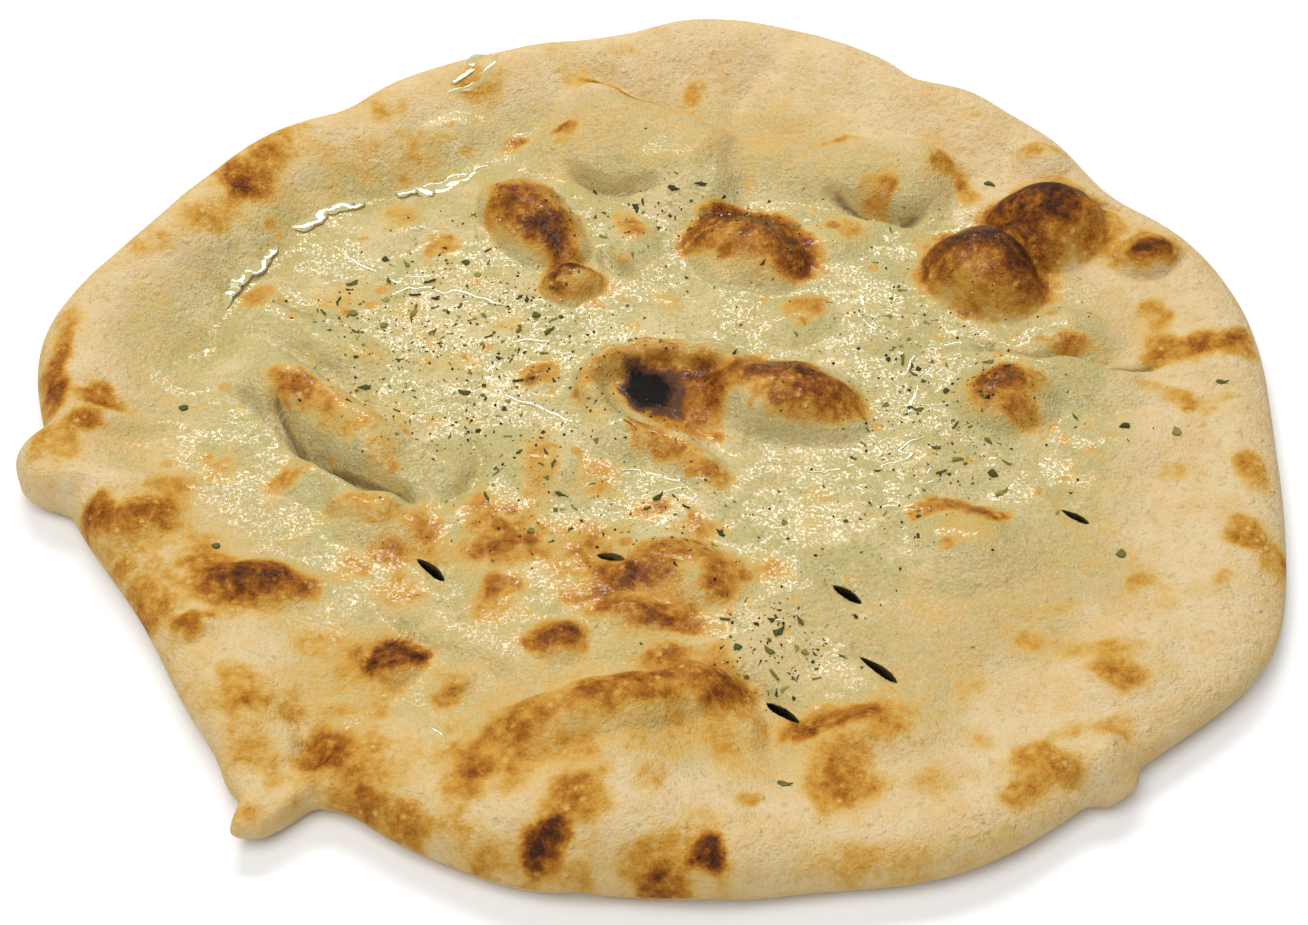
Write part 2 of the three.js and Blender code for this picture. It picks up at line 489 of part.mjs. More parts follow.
function solid({ verts, tris }) {
  const mesh = new Mesh({
    numProp: 3,
    vertProperties: Float32Array.from(verts.flat()),
    triVerts: Uint32Array.from(tris.flat()),
  });
  return new Manifold(mesh);
}

function geometry(body) {
  const mesh = body.getMesh(), step = mesh.numProp, count = mesh.vertProperties.length / step;
  const pos = new Float32Array(count * 3);
  for (let k = 0; k < count; k++) {
    for (let d = 0; d < 3; d++) pos[k * 3 + d] = mesh.vertProperties[k * step + d];
  }
  const geo = new THREE.BufferGeometry();
  geo.setAttribute('position', new THREE.BufferAttribute(pos, 3));
  geo.setIndex(Array.from(mesh.triVerts));
  geo.computeVertexNormals();
  return geo;
}

const crust = solid(breadMesh());
const slit = crust.subtract(Manifold.union(SLITS.map((s) => solid(slitMesh(s)))));
const flakes = flakePlaces().map((p) => solid(flakeMesh(p.x, p.y, p.turn, p.long)));
const bread = slit.add(Manifold.union(flakes));

const crustMaterial = new THREE.MeshStandardMaterial({ color: 0xdfc792, roughness: 0.62, metalness: 0 });
crustMaterial.name = 'crust';
const shape = geometry(bread);
shape.computeBoundingBox();
const middle = shape.boundingBox.getCenter(new THREE.Vector3());
shape.translate(-middle.x, -middle.y, 0);
const loaf = new THREE.Mesh(shape, crustMaterial);
loaf.name = 'pizza_bread';

const part = new THREE.Group();
part.name = 'pizza_bread_part';
part.add(loaf);
export default part;
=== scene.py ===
"""Pizza bread: hand-stretched dough baked flat, blistered and folded, oiled and scattered with dried herbs.

Sizes in the form's classes are millimetres in plan, x to the right and y to the back. Meshes are in metres.
"""

from __future__ import annotations

import logging
import math
from dataclasses import dataclass, field
from enum import Enum
from typing import Any, Sequence

import bpy
import numpy as np
from mathutils import Matrix, Vector

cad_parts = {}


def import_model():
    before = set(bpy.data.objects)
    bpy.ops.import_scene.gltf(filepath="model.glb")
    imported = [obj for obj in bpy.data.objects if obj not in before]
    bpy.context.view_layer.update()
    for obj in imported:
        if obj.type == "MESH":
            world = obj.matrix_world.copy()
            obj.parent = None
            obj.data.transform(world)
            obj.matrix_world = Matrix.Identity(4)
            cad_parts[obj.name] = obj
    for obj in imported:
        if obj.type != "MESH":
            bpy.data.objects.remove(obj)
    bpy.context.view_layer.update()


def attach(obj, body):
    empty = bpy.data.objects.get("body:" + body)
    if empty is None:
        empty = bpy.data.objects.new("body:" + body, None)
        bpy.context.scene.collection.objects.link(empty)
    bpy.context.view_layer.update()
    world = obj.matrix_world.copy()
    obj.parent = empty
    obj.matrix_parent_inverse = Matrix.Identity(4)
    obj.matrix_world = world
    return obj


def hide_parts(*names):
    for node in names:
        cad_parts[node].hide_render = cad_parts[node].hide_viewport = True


LOG = logging.getLogger("pizza_bread")
MM = 0.001
Array = np.ndarray
Vec2 = tuple[float, float]
Colour = tuple[float, float, float]

# --- fields of numbers over the plan ---


def smooth(t: Array | float) -> Array:
    """Ease a value from 0 to 1 without corners."""
    c = np.clip(t, 0.0, 1.0)
    return c * c * (3.0 - 2.0 * c)


def bell(t: Array | float) -> Array:
    """Return a bell that is 1 at 0 and fades on both sides."""
    return np.exp(-np.square(t))


def turn_away(deg: Array | float, at: float) -> Array:
    """Return the signed angle from a bearing, in degrees between -180 and 180."""
    return (np.asarray(deg) - at + 540.0) % 360.0 - 180.0


def patchy(x: Array, y: Array, size: float, seed: int, octaves: int = 3) -> Array:
    """Make a soft random field, as uneven as dough.

    Args:
        x: Plan x in millimetres.
        y: Plan y in millimetres.
        size: Width of the largest patches in millimetres.
        seed: Picks the field.
        octaves: How many finer layers it has.

    Returns:
        Values between about -1 and 1.
    """
    total, weight, whole = np.zeros_like(x, dtype=float), 1.0, 0.0
    for layer in range(octaves):
        gx, gy = x / size + 17.3 * layer, y / size - 9.1 * layer
        ix, iy = np.floor(gx), np.floor(gy)
        sx, sy = smooth(gx - ix), smooth(gy - iy)

        def corner(dx: int, dy: int) -> Array:
            """Return the random value at one corner of the cell."""
            h = np.sin((ix + dx) * 127.1 + (iy + dy) * 311.7 + seed * 74.7 + layer * 19.19) * 43758.5453
            return 2.0 * (h - np.floor(h)) - 1.0

        low = corner(0, 0) * (1 - sx) + corner(1, 0) * sx
        high = corner(0, 1) * (1 - sx) + corner(1, 1) * sx
        total += weight * (low * (1 - sy) + high * sy)
        whole += weight
        weight *= 0.5
        size *= 0.5
    return total / whole * 1.4


def path_reach(path: Sequence[Vec2], x: Array, y: Array) -> tuple[Array, Array, Array, Array]:
    """Measure points against a path.

    Args:
        path: The path's points in plan.
        x: Plan x of the points measured.
        y: Plan y of the points measured.

    Returns:
        Distance off the path, signed distance to its left, and the run from its start and to its end.
    """
    spans = [math.dist(a, b) for a, b in zip(path, path[1:])]
    whole, run = sum(spans), 0.0
    off, side, start = np.full(x.shape, np.inf), np.zeros(x.shape), np.zeros(x.shape)
    for (ax, ay), (bx, by), span in zip(path, path[1:], spans):
        dx, dy = bx - ax, by - ay
        t = np.clip(((x - ax) * dx + (y - ay) * dy) / span**2, 0.0, 1.0)
        ox, oy = x - ax - dx * t, y - ay - dy * t
        far = np.hypot(ox, oy)
        near = far < off
        off = np.where(near, far, off)
        side = np.where(near, (dx * oy - dy * ox) / span, side)
        start = np.where(near, run + span * t, start)
        run += span
    return off, side, start, whole - start


def oval_reach(at: Vec2, half: Vec2, turn: float, x: Array, y: Array) -> Array:
    """Return the squared distance from an oval's middle, 1 being its edge."""
    c, s = math.cos(math.radians(turn)), math.sin(math.radians(turn))
    dx, dy = x - at[0], y - at[1]
    return np.square((dx * c + dy * s) / half[0]) + np.square((-dx * s + dy * c) / half[1])


# --- the form of the bread ---


@dataclass(frozen=True)
class Bulge:
    """A swelling or dent of the outline, at a bearing in degrees."""

    name: str
    at: float
    spread: float
    out: float
    blunt: bool = False

    def reach(self, deg: Array) -> Array:
        """Return how far the outline moves out at each bearing."""
        away = turn_away(deg, self.at) / self.spread
        return self.out * (np.exp(-(away**4)) if self.blunt else np.exp(-np.square(away) / 2))


@dataclass(frozen=True)
class RimPart:
    """A stretch of rim that stands higher or lower, and reaches further in."""

    name: str
    at: float
    spread: float
    rise: float
    wider: float

    def near(self, deg: Array) -> Array:
        """Return how much of this stretch's change holds at each bearing."""
        return bell(turn_away(deg, self.at) / (self.spread * 1.3))


@dataclass(frozen=True)
class Dome:
    """An oval blister: puff under 1 is round with steep sides, 2 is a soft swelling."""

    name: str
    at: Vec2
    half: Vec2
    turn: float
    rise: float
    puff: float

    def height(self, x: Array, y: Array) -> Array:
        """Return the blister's height over the crust."""
        left = np.clip(1.0 - oval_reach(self.at, self.half, self.turn, x, y), 0.0, None)
        return self.rise * left**self.puff


@dataclass(frozen=True)
class Ridge:
    """A fold along a path, with its own reach to the left and right of the way the path runs."""

    name: str
    path: tuple[Vec2, ...]
    left: float
    right: float
    rise: float
    ends: float
    puff: float

    def height(self, x: Array, y: Array) -> Array:
        """Return the fold's height over the crust."""
        off, side, start, end = path_reach(self.path, x, y)
        reach = self.right + (self.left - self.right) * (0.5 + 0.5 * np.clip(side / 2.0, -1.0, 1.0))
        fade = smooth((start + 2.0) / self.ends) * smooth((end + 2.0) / self.ends)
        return self.rise * np.clip(1.0 - np.square(off / reach), 0.0, None) ** self.puff * fade


@dataclass(frozen=True)
class Crease:
    """A groove along a path."""

    name: str
    path: tuple[Vec2, ...]
    wide: float
    deep: float
    ends: float

    def share(self, x: Array, y: Array) -> Array:
        """Return how much of the groove holds, from 0 to 1."""
        off, _, start, end = path_reach(self.path, x, y)
        return bell(off / self.wide) * smooth((start + 2.0) / self.ends) * smooth((end + 2.0) / self.ends)


@dataclass(frozen=True)
class Slit:
    """A short cut right through the bread, given by its two ends; the crust behind it dips into it."""

    name: str
    start: Vec2
    end: Vec2
    gape: float

    def dip(self, x: Array, y: Array) -> Array:
        """Return how far the crust sinks beside the cut."""
        off, side, _, _ = path_reach((self.start, self.end), x, y)
        return 1.5 * bell(off / (2.2 + 1.6 * (side > 0.0)))


OUTLINE = (
    Bulge("back right dent", 30, 6, -8),
    Bulge("back right flat", 43, 5, -1.5),
    Bulge("back shoulder dent", 56.5, 2.6, -4),
    Bulge("back swell", 76, 9, 7.6),
    Bulge("back crown", 86, 4, 3.4),
    Bulge("back left dent", 131, 4.2, -4.5),
    Bulge("left swell", 173.5, 7.5, 8.6),
    Bulge("left knob", 190.2, 3.6, 9, True),
    Bulge("front left flat", 210, 11, -10.5),
    Bulge("tail root", 232.6, 2.6, 5),
    Bulge("tail", 235.4, 2, 9.5, True),
    Bulge("tail notch", 240.5, 3.4, -4),
    Bulge("front left dent", 248, 7, -4.2),
    Bulge("front dent", 268, 6, -3.2),
    Bulge("front flat", 283, 6, -2.4),
    Bulge("front swell", 298, 7, 2.2),
    Bulge("front right knob", 311.8, 2.2, 3.4, True),
    Bulge("right swell", 330, 7, 6.4),
    Bulge("right dent", 355, 8, -3.8),
)
RIMS = (
    RimPart("back left roll", 145, 24, 2.4, 9),
    RimPart("left side", 182, 12, 0.6, 5),
    RimPart("front left", 215, 14, -2.4, 2),
    RimPart("tail pinch", 234.5, 4, -2.6, 0),
    RimPart("front hump edge", 268, 13, 2.4, 5),
    RimPart("right side", 350, 22, -0.8, 3),
    RimPart("back right", 38, 10, 1, 0),
    RimPart("back", 85, 14, 1.2, 6),
)
LIFTS = (
    RimPart("front gap left", 263.5, 1.72, 1.8, 0),
    RimPart("front gap right", 275, 2.15, 1.6, 0),
    RimPart("tail tip", 234.8, 2.15, 1.6, 0),
    RimPart("left knob", 190.4, 2.15, 1.2, 0),
)
DOMES = (
    Dome("long brown blister", (-32, 59.5), (20, 12), -54, 10, 0.85),
    Dome("small dark blister", (-20.5, 37), (8.5, 6.8), 10, 5.6, 0.85),
    Dome("arched blister", (25, 48.2), (17.5, 14.4), -33, 8.5, 1.1),
    Dome("right black blister", (87.5, 39.5), (17, 14.5), -25, 14, 0.85),
    Dome("back right black blister", (105.5, 56), (16, 13), -4, 13, 0.85),
    Dome("edge blister", (129, 44), (9.5, 6.6), 0, 5.6, 0.9),
    Dome("right brown blister", (88, -4), (14, 10.5), -8, 6, 1.2),
    Dome("middle blister", (34, -4.4), (21.5, 13.6), -17, 10.2, 0.95),
    Dome("edge bump", (106, 79), (9, 7), -20, 3, 1.4),
    Dome("right mound", (107, 19), (15, 10), -10, 4, 1.5),
    Dome("tan swelling", (-27, -25), (11, 11), 0, 2.4, 1.6),
    Dome("orange swelling", (6, -57), (20, 11), -8, 4.2, 1.2),
    Dome("low orange swelling", (-3, -70), (12, 5.5), 0, 2.2, 1.3),
    Dome("brown button", (-21, -77), (8.5, 6.5), 10, 2.8, 1.1),
    Dome("dark button", (-58.5, -84), (6.2, 5.4), 0, 3.4, 0.9),
    Dome("small button", (-45, -90.5), (5.5, 5), 30, 2, 1.2),
    Dome("left brown swelling", (-91, -62), (18, 8), 2, 3.4, 1.3),
    Dome("left front crescent", (-105, -76), (6, 4.5), 0, 1.6, 1.3),
    Dome("left edge swelling", (-122, -46), (12, 8), 25, 2.2, 1.6),
    Dome("pale left swelling", (-66, -42), (14, 8.5), -14, 3.4, 1.2),
    Dome("right front swelling", (75, -52), (18, 13), 0, 3.6, 1.3),
    Dome("pale top swelling", (-68, 56), (12, 9), 20, 2.4, 1.5),
    Dome("middle back swelling", (-5, 52), (8, 9), -10, 2.6, 1.3),
    Dome("oily swelling", (48, 52), (11, 8), 0, 2, 1.6),
    Dome("left rim swelling", (-121, 48), (13, 11), 60, 2, 1.6),
    Dome("orange dot", (-27.5, 5), (5.5, 5), 0, 1.6, 1.2),
    Dome("front hump", (-8, -110), (38, 28), 4, 6.4, 1.2),
    Dome("back plateau", (64, 102), (38, 23), -22, 3.2, 0.8),
    Dome("tongue", (-52, -26), (9, 8), -30, 2.2, 1.2),
    Dome("low swelling by the roll", (-78, 12), (15, 8), -24, 2.2, 1.5),
    Dome("low middle swelling", (38, 24), (12, 9), 20, 2, 1.5),
    Dome("low right swelling", (118, -18), (21, 13), 10, 2.2, 1.8),
    Dome("low front right swelling", (106, -84), (18, 13), 30, 2.4, 1.7),
    Dome("low back swelling", (-52, 92), (15, 8), 10, 2.4, 1.4),
    Dome("low front swelling", (48, -104), (17, 9), 4, 2.2, 1.6),
)
RIDGES = (
    Ridge("crater ring", ((-14, -9), (-16.5, -3), (-15.5, 4), (-10, 10.5), (-2, 13), (6, 13),
           (14, 11.5), (24, 8.5)),
          3.6, 4.6, 4, 8, 0.9),
    Ridge("crater lip", ((-15, -8), (-9, -12.5), (0, -16), (7, -20), (14, -26), (20, -31)),
          4.4, 7.5, 3.6, 12, 1.1),
    Ridge("left roll", ((-104, 12), (-96, 7.5), (-89, 0.5), (-80, -8), (-70, -15.5), (-61, -22), (-53, -26)),
          6, 12.5, 8.4, 22, 0.62),
    Ridge("left flap lip", ((-88, -23), (-82, -28), (-75, -31.5), (-66, -35.5), (-57, -39)),
          3, 9, 2.8, 10, 1),
    Ridge("back fold", ((-27, 108), (-17, 103), (-9, 99.5), (-1, 97.5), (6, 92.5), (13, 87), (20, 83),
           (29, 80)),
          11, 28, 8.6, 18, 1.05),
    Ridge("back fold right", ((40, 83), (50, 82), (62, 79), (74, 75.5), (84, 71)), 12, 15.5, 7, 14, 0.85),
    Ridge("back fold join", ((22, 83), (36, 83), (50, 81)), 10, 15, 4.2, 12, 1.2),
    Ridge("hump brow", ((-38, -106), (-27, -103), (-14, -98), (-1, -94), (8, -90), (15, -92), (20, -97)),
          8, 11.5, 5.2, 14, 1.1),
    Ridge("hump crown", ((-30, -106), (-12, -103), (8, -101)), 14, 20, 3.2, 22, 1.4),
    Ridge("front bank", ((33, -104), (52, -107), (74, -104)), 11, 16, 3, 18, 1.3),
    Ridge("right front brow", ((60, -42), (73, -41.5), (87, -42)), 6, 16, 2.4, 10, 1.2),
    Ridge("small left fold", ((-104, 32), (-92, 26), (-80, 22)), 4, 11, 2.6, 9, 1),
    Ridge("right fold", ((82, 11), (97, 7), (112, 5.5), (128, 7)), 3.4, 13, 3.2, 12, 1),
    Ridge("knob fold", ((84, -111), (97, -112), (106, -106)), 4, 6, 2.2, 7, 1),
)
CREASES = (
    Crease("left channel", ((-118, 2), (-113, 24), (-104, 44), (-95, 60), (-84, 69), (-62, 75), (-46, 82)),
           7, 2.2, 16),
    Crease("roll foot", ((-95, -4), (-89, -15.4), (-84, -21.4), (-76.5, -26.4), (-69, -29.9), (-61.5, -33.4),
                         (-55.5, -36.2)), 2.0, 4.6, 7),
    Crease("roll back", ((-98, 16), (-88, 9), (-76, -1), (-62, -13), (-54, -17)), 3, 1.6, 10),
    Crease("pocket rim", ((-43.5, -14), (-42, -23), (-44.5, -31.5), (-50, -38)), 1.7, 1.8, 6),
    Crease("back fold foot", ((-24, 79), (-16, 75), (-8, 72.5), (2, 72)), 1.9, 3.4, 7),
    Crease("back fold right foot", ((46, 72), (53, 67), (59, 63.5), (67, 61.5), (76, 64)), 1.9, 4, 8),
    Crease("back fold valley", ((34, 124), (27, 112), (24, 102), (27, 92)), 5, 2.4, 9),
    Crease("left shelf", ((-147, -3), (-138, -6), (-130, -9), (-123, -10)), 2.4, 1.4, 7),
    Crease("behind the fold", ((-18, 116), (-6, 110), (6, 102), (17, 95)), 4, 1.8, 10),
    Crease("blister crease", ((-14, 49), (-11, 44), (-6, 41)), 1.8, 3, 4),
    Crease("small left crease", ((-98, 31), (-90, 27), (-85, 24)), 1.6, 2.4, 5),
    Crease("right crease", ((82, 15), (92, 12), (101, 10), (112, 10)), 1.6, 3, 7),
    Crease("right edge crease", ((114, 8), (122, 7), (130, 10)), 1.6, 2.8, 5),
    Crease("edge crack", ((119, 62), (124, 61), (129, 57)), 1.6, 2.4, 4),
    Crease("bump crease", ((94, 88), (97, 82), (96, 74)), 2.6, 1.6, 6),
    Crease("wrinkle", ((-63, -67), (-57.5, -73), (-51, -77), (-44.5, -81), (-38, -83.5), (-31, -89)),
           1.3, 1.4, 8),
    Crease("hump foot", ((-30, -93), (-14, -88), (-2, -84), (9, -82)), 3.4, 1.4, 10),
    Crease("hump side", ((17, -86), (24, -93), (27, -103), (28, -112)), 3.2, 2.4, 8),
    Crease("tail fold", ((-74, -114), (-77, -104), (-82, -96)), 2.4, 2.4, 6),
    Crease("pale fold", ((-80, -33), (-79, -37), (-76, -42)), 1.6, 1.2, 4),
    Crease("crater mouth", ((4, -6), (11, -12), (19, -19), (26, -23)), 4, 2.6, 9),
    Crease("blister seam", ((97, 50), (100, 44), (103, 38)), 1.8, 2, 4),
)
BURST = Dome("burst floor", (-2.5, 1), (14, 11), -42, 4.2, 1.1)
SLITS = (
    Slit("left slit", (-55.5, -53), (-48.6, -59.4), 3.0),
    Slit("middle slit", (-13, -51.5), (-6.2, -55.2), 2.6),
    Slit("right slit", (42.6, -60.2), (49.2, -65.4), 2.9),
    Slit("long slit", (47.8, -80.6), (55.8, -88.6), 3.2),
    Slit("torn slit", (26, -92.3), (33.2, -99.2), 2.6),
    Slit("far right slit", (98.8, -37.6), (105.2, -42), 2.3),
)


@dataclass(frozen=True)
class BreadForm:
    """The bread's outline, section and baked relief, in millimetres."""

    half_width: float = 154.0
    half_depth: float = 140.0
    lean: float = 7.0
    lean_at: float = 315.0
    floor: float = 8.6
    edge_mid: float = 5.2
    edge_round: float = 11.0
    under_round: float = 7.0
    rim_height: float = 14.2
    rim_swing: float = 2.2
    rim_swing_at: float = 140.0
    rim_fall: float = 22.0
    unevenness: float = 0.55
    push: float = 0.7
    thinnest: float = 3.2
    edge_band: float = 0.88

    def radius(self, deg: Array) -> Array:
        """Return the distance from the middle to the edge at each bearing."""
        a = np.radians(deg)
        r = 1.0 / np.hypot(np.cos(a) / self.half_width, np.sin(a) / self.half_depth)
        r = r + self.lean * np.cos(np.radians(np.asarray(deg) - self.lean_at))
        return r + sum(b.reach(deg) for b in OUTLINE)

    def undulation(self, x: Array, y: Array) -> Array:
        """Return the gentle unevenness of hand-stretched dough."""
        return self.unevenness * (
            np.sin(x * 0.071 + 1.3) * np.cos(y * 0.083 - 0.4)
            + 0.7 * np.sin(x * 0.137 - y * 0.119 + 2.1)
            + 0.5 * np.sin(x * 0.213 + y * 0.187 + 0.6) * np.cos(y * 0.151 - x * 0.097)
        )

    def pushed(self, x: Array, y: Array) -> tuple[Array, Array]:
        """Push plan points about gently, so that ovals and paths come out as uneven as dough."""
        return (
            x + self.push * (np.sin(y * 0.23 + x * 0.05 + 0.8) + 0.6 * np.sin(y * 0.47 - x * 0.31 + 2.2)),
            y + self.push * (np.sin(x * 0.21 - y * 0.06 + 1.7) + 0.6 * np.sin(x * 0.43 + y * 0.35 + 0.3)),
        )

    def relief(self, x: Array, y: Array) -> Array:
        """Return the height of blisters, folds and creases over the plain section."""
        x, y = self.pushed(x, y)
        up = sum(r.height(x, y) for r in RIDGES) + sum(d.height(x, y) for d in DOMES)
        down = sum(c.deep * c.share(x, y) for c in CREASES) + sum(s.dip(x, y) for s in SLITS)
        return up - down - BURST.height(x, y)

    def section(self, inside: Array, deg: Array) -> Array:
        """Return the height of the plain rim and floor at a distance in from the edge."""
        rise = self.rim_height - self.floor + self.rim_swing * np.cos(np.radians(deg - self.rim_swing_at))
        fall = np.full(np.shape(deg), self.rim_fall)
        for part in RIMS:
            near = part.near(deg)
            rise, fall = rise + part.rise * near, fall + part.wider * near
        return self.floor + np.maximum(rise, 1.0) * (1.0 - smooth((inside - self.edge_round * 0.8) / fall))

    def crust(self, x: Array, y: Array, inside: Array, deg: Array) -> Array:
        """Return the height of the top crust.

        Args:
            x: Plan x.
            y: Plan y.
            inside: Distance in from the edge.
            deg: Bearing from the middle, in degrees.

        Returns:
            Heights above the flat underside.
        """
        z = self.section(inside, deg) + self.undulation(x, y) + self.relief(x, y)
        t = np.clip(inside / self.edge_round, 0.0, 1.0)
        up = np.maximum(z, self.thinnest) - self.edge_mid
        return self.edge_mid + up * np.sqrt(1.0 - np.square(1.0 - t))

    def place(self, x: Array, y: Array) -> tuple[Array, Array]:
        """Return the bearing and the distance in from the edge at plan points."""
        deg = np.degrees(np.arctan2(y, x)) % 360.0
        return deg, self.radius(deg) - np.hypot(x, y)

    def crust_at(self, x: Array, y: Array) -> Array:
        """Return the height of the top crust at plan points."""
        deg, inside = self.place(x, y)
        return self.crust(x, y, inside, deg)

    def lift(self, deg: Array, inside: Array) -> Array:
        """Return how far the edge curls up off the table."""
        up = sum(part.rise * part.near(deg) for part in LIFTS)
        return 0.5 * up * (1.0 - smooth(inside / self.under_round))

    def middle(self) -> Vec2:
        """Return the middle of the outline's box, which the finished bread stands over."""
        deg = np.arange(0.0, 360.0, 0.25)
        r = self.radius(deg)
        x, y = r * np.cos(np.radians(deg)), r * np.sin(np.radians(deg))
        return (float(x.min() + x.max()) / 2, float(y.min() + y.max()) / 2)

    def metres(self, points: Array) -> Array:
        """Move points over the middle of the outline's box and turn them into metres."""
        return (points - np.array([*self.middle(), 0.0])) * MM


# --- how the oven and the cook coloured it ---


@dataclass(frozen=True)
class Toast:
    """A browned patch: tone 0.2 is golden, 0.5 brown, 0.8 dark, 1 burnt."""

    at: Vec2
    half: Vec2
    tone: float
    turn: float = 0.0
    soft: float = 0.95

    def share(self, x: Array, y: Array) -> Array:
        """Return how strongly the patch colours each point."""
        d = np.sqrt(oval_reach(self.at, self.half, self.turn, x, y))
        return self.tone * (1.0 - smooth((d - 1.35 + self.soft) / self.soft))


def toasts(*rows: tuple[float, ...]) -> tuple[Toast, ...]:
    """Make patches from rows of x, y, half width, half depth and tone, then turn and softness where given."""
    return tuple(Toast((x, y), (wide, deep), *rest) for x, y, wide, deep, *rest in rows)


@dataclass(frozen=True)
class Scorch:
    """A browned stroke along a fold or an arc."""

    path: tuple[Vec2, ...]
    wide: float
    tone: float

    def share(self, x: Array, y: Array) -> Array:
        """Return how strongly the stroke colours each point."""
        off, _, _, _ = path_reach(self.path, x, y)
        return self.tone * (1.0 - smooth((off / self.wide - 0.45) / 0.9))


@dataclass(frozen=True)
class RimBlush:
    """A browned stretch of rim, at a bearing and a distance in from the edge."""

    at: float
    spread: float
    inside: float
    wide: float
    tone: float

    def share(self, deg: Array, inside: Array) -> Array:
        """Return how strongly the blush colours each point."""
        along = bell(turn_away(deg, self.at) / self.spread)
        return self.tone * along * bell((inside - self.inside) / self.wide)


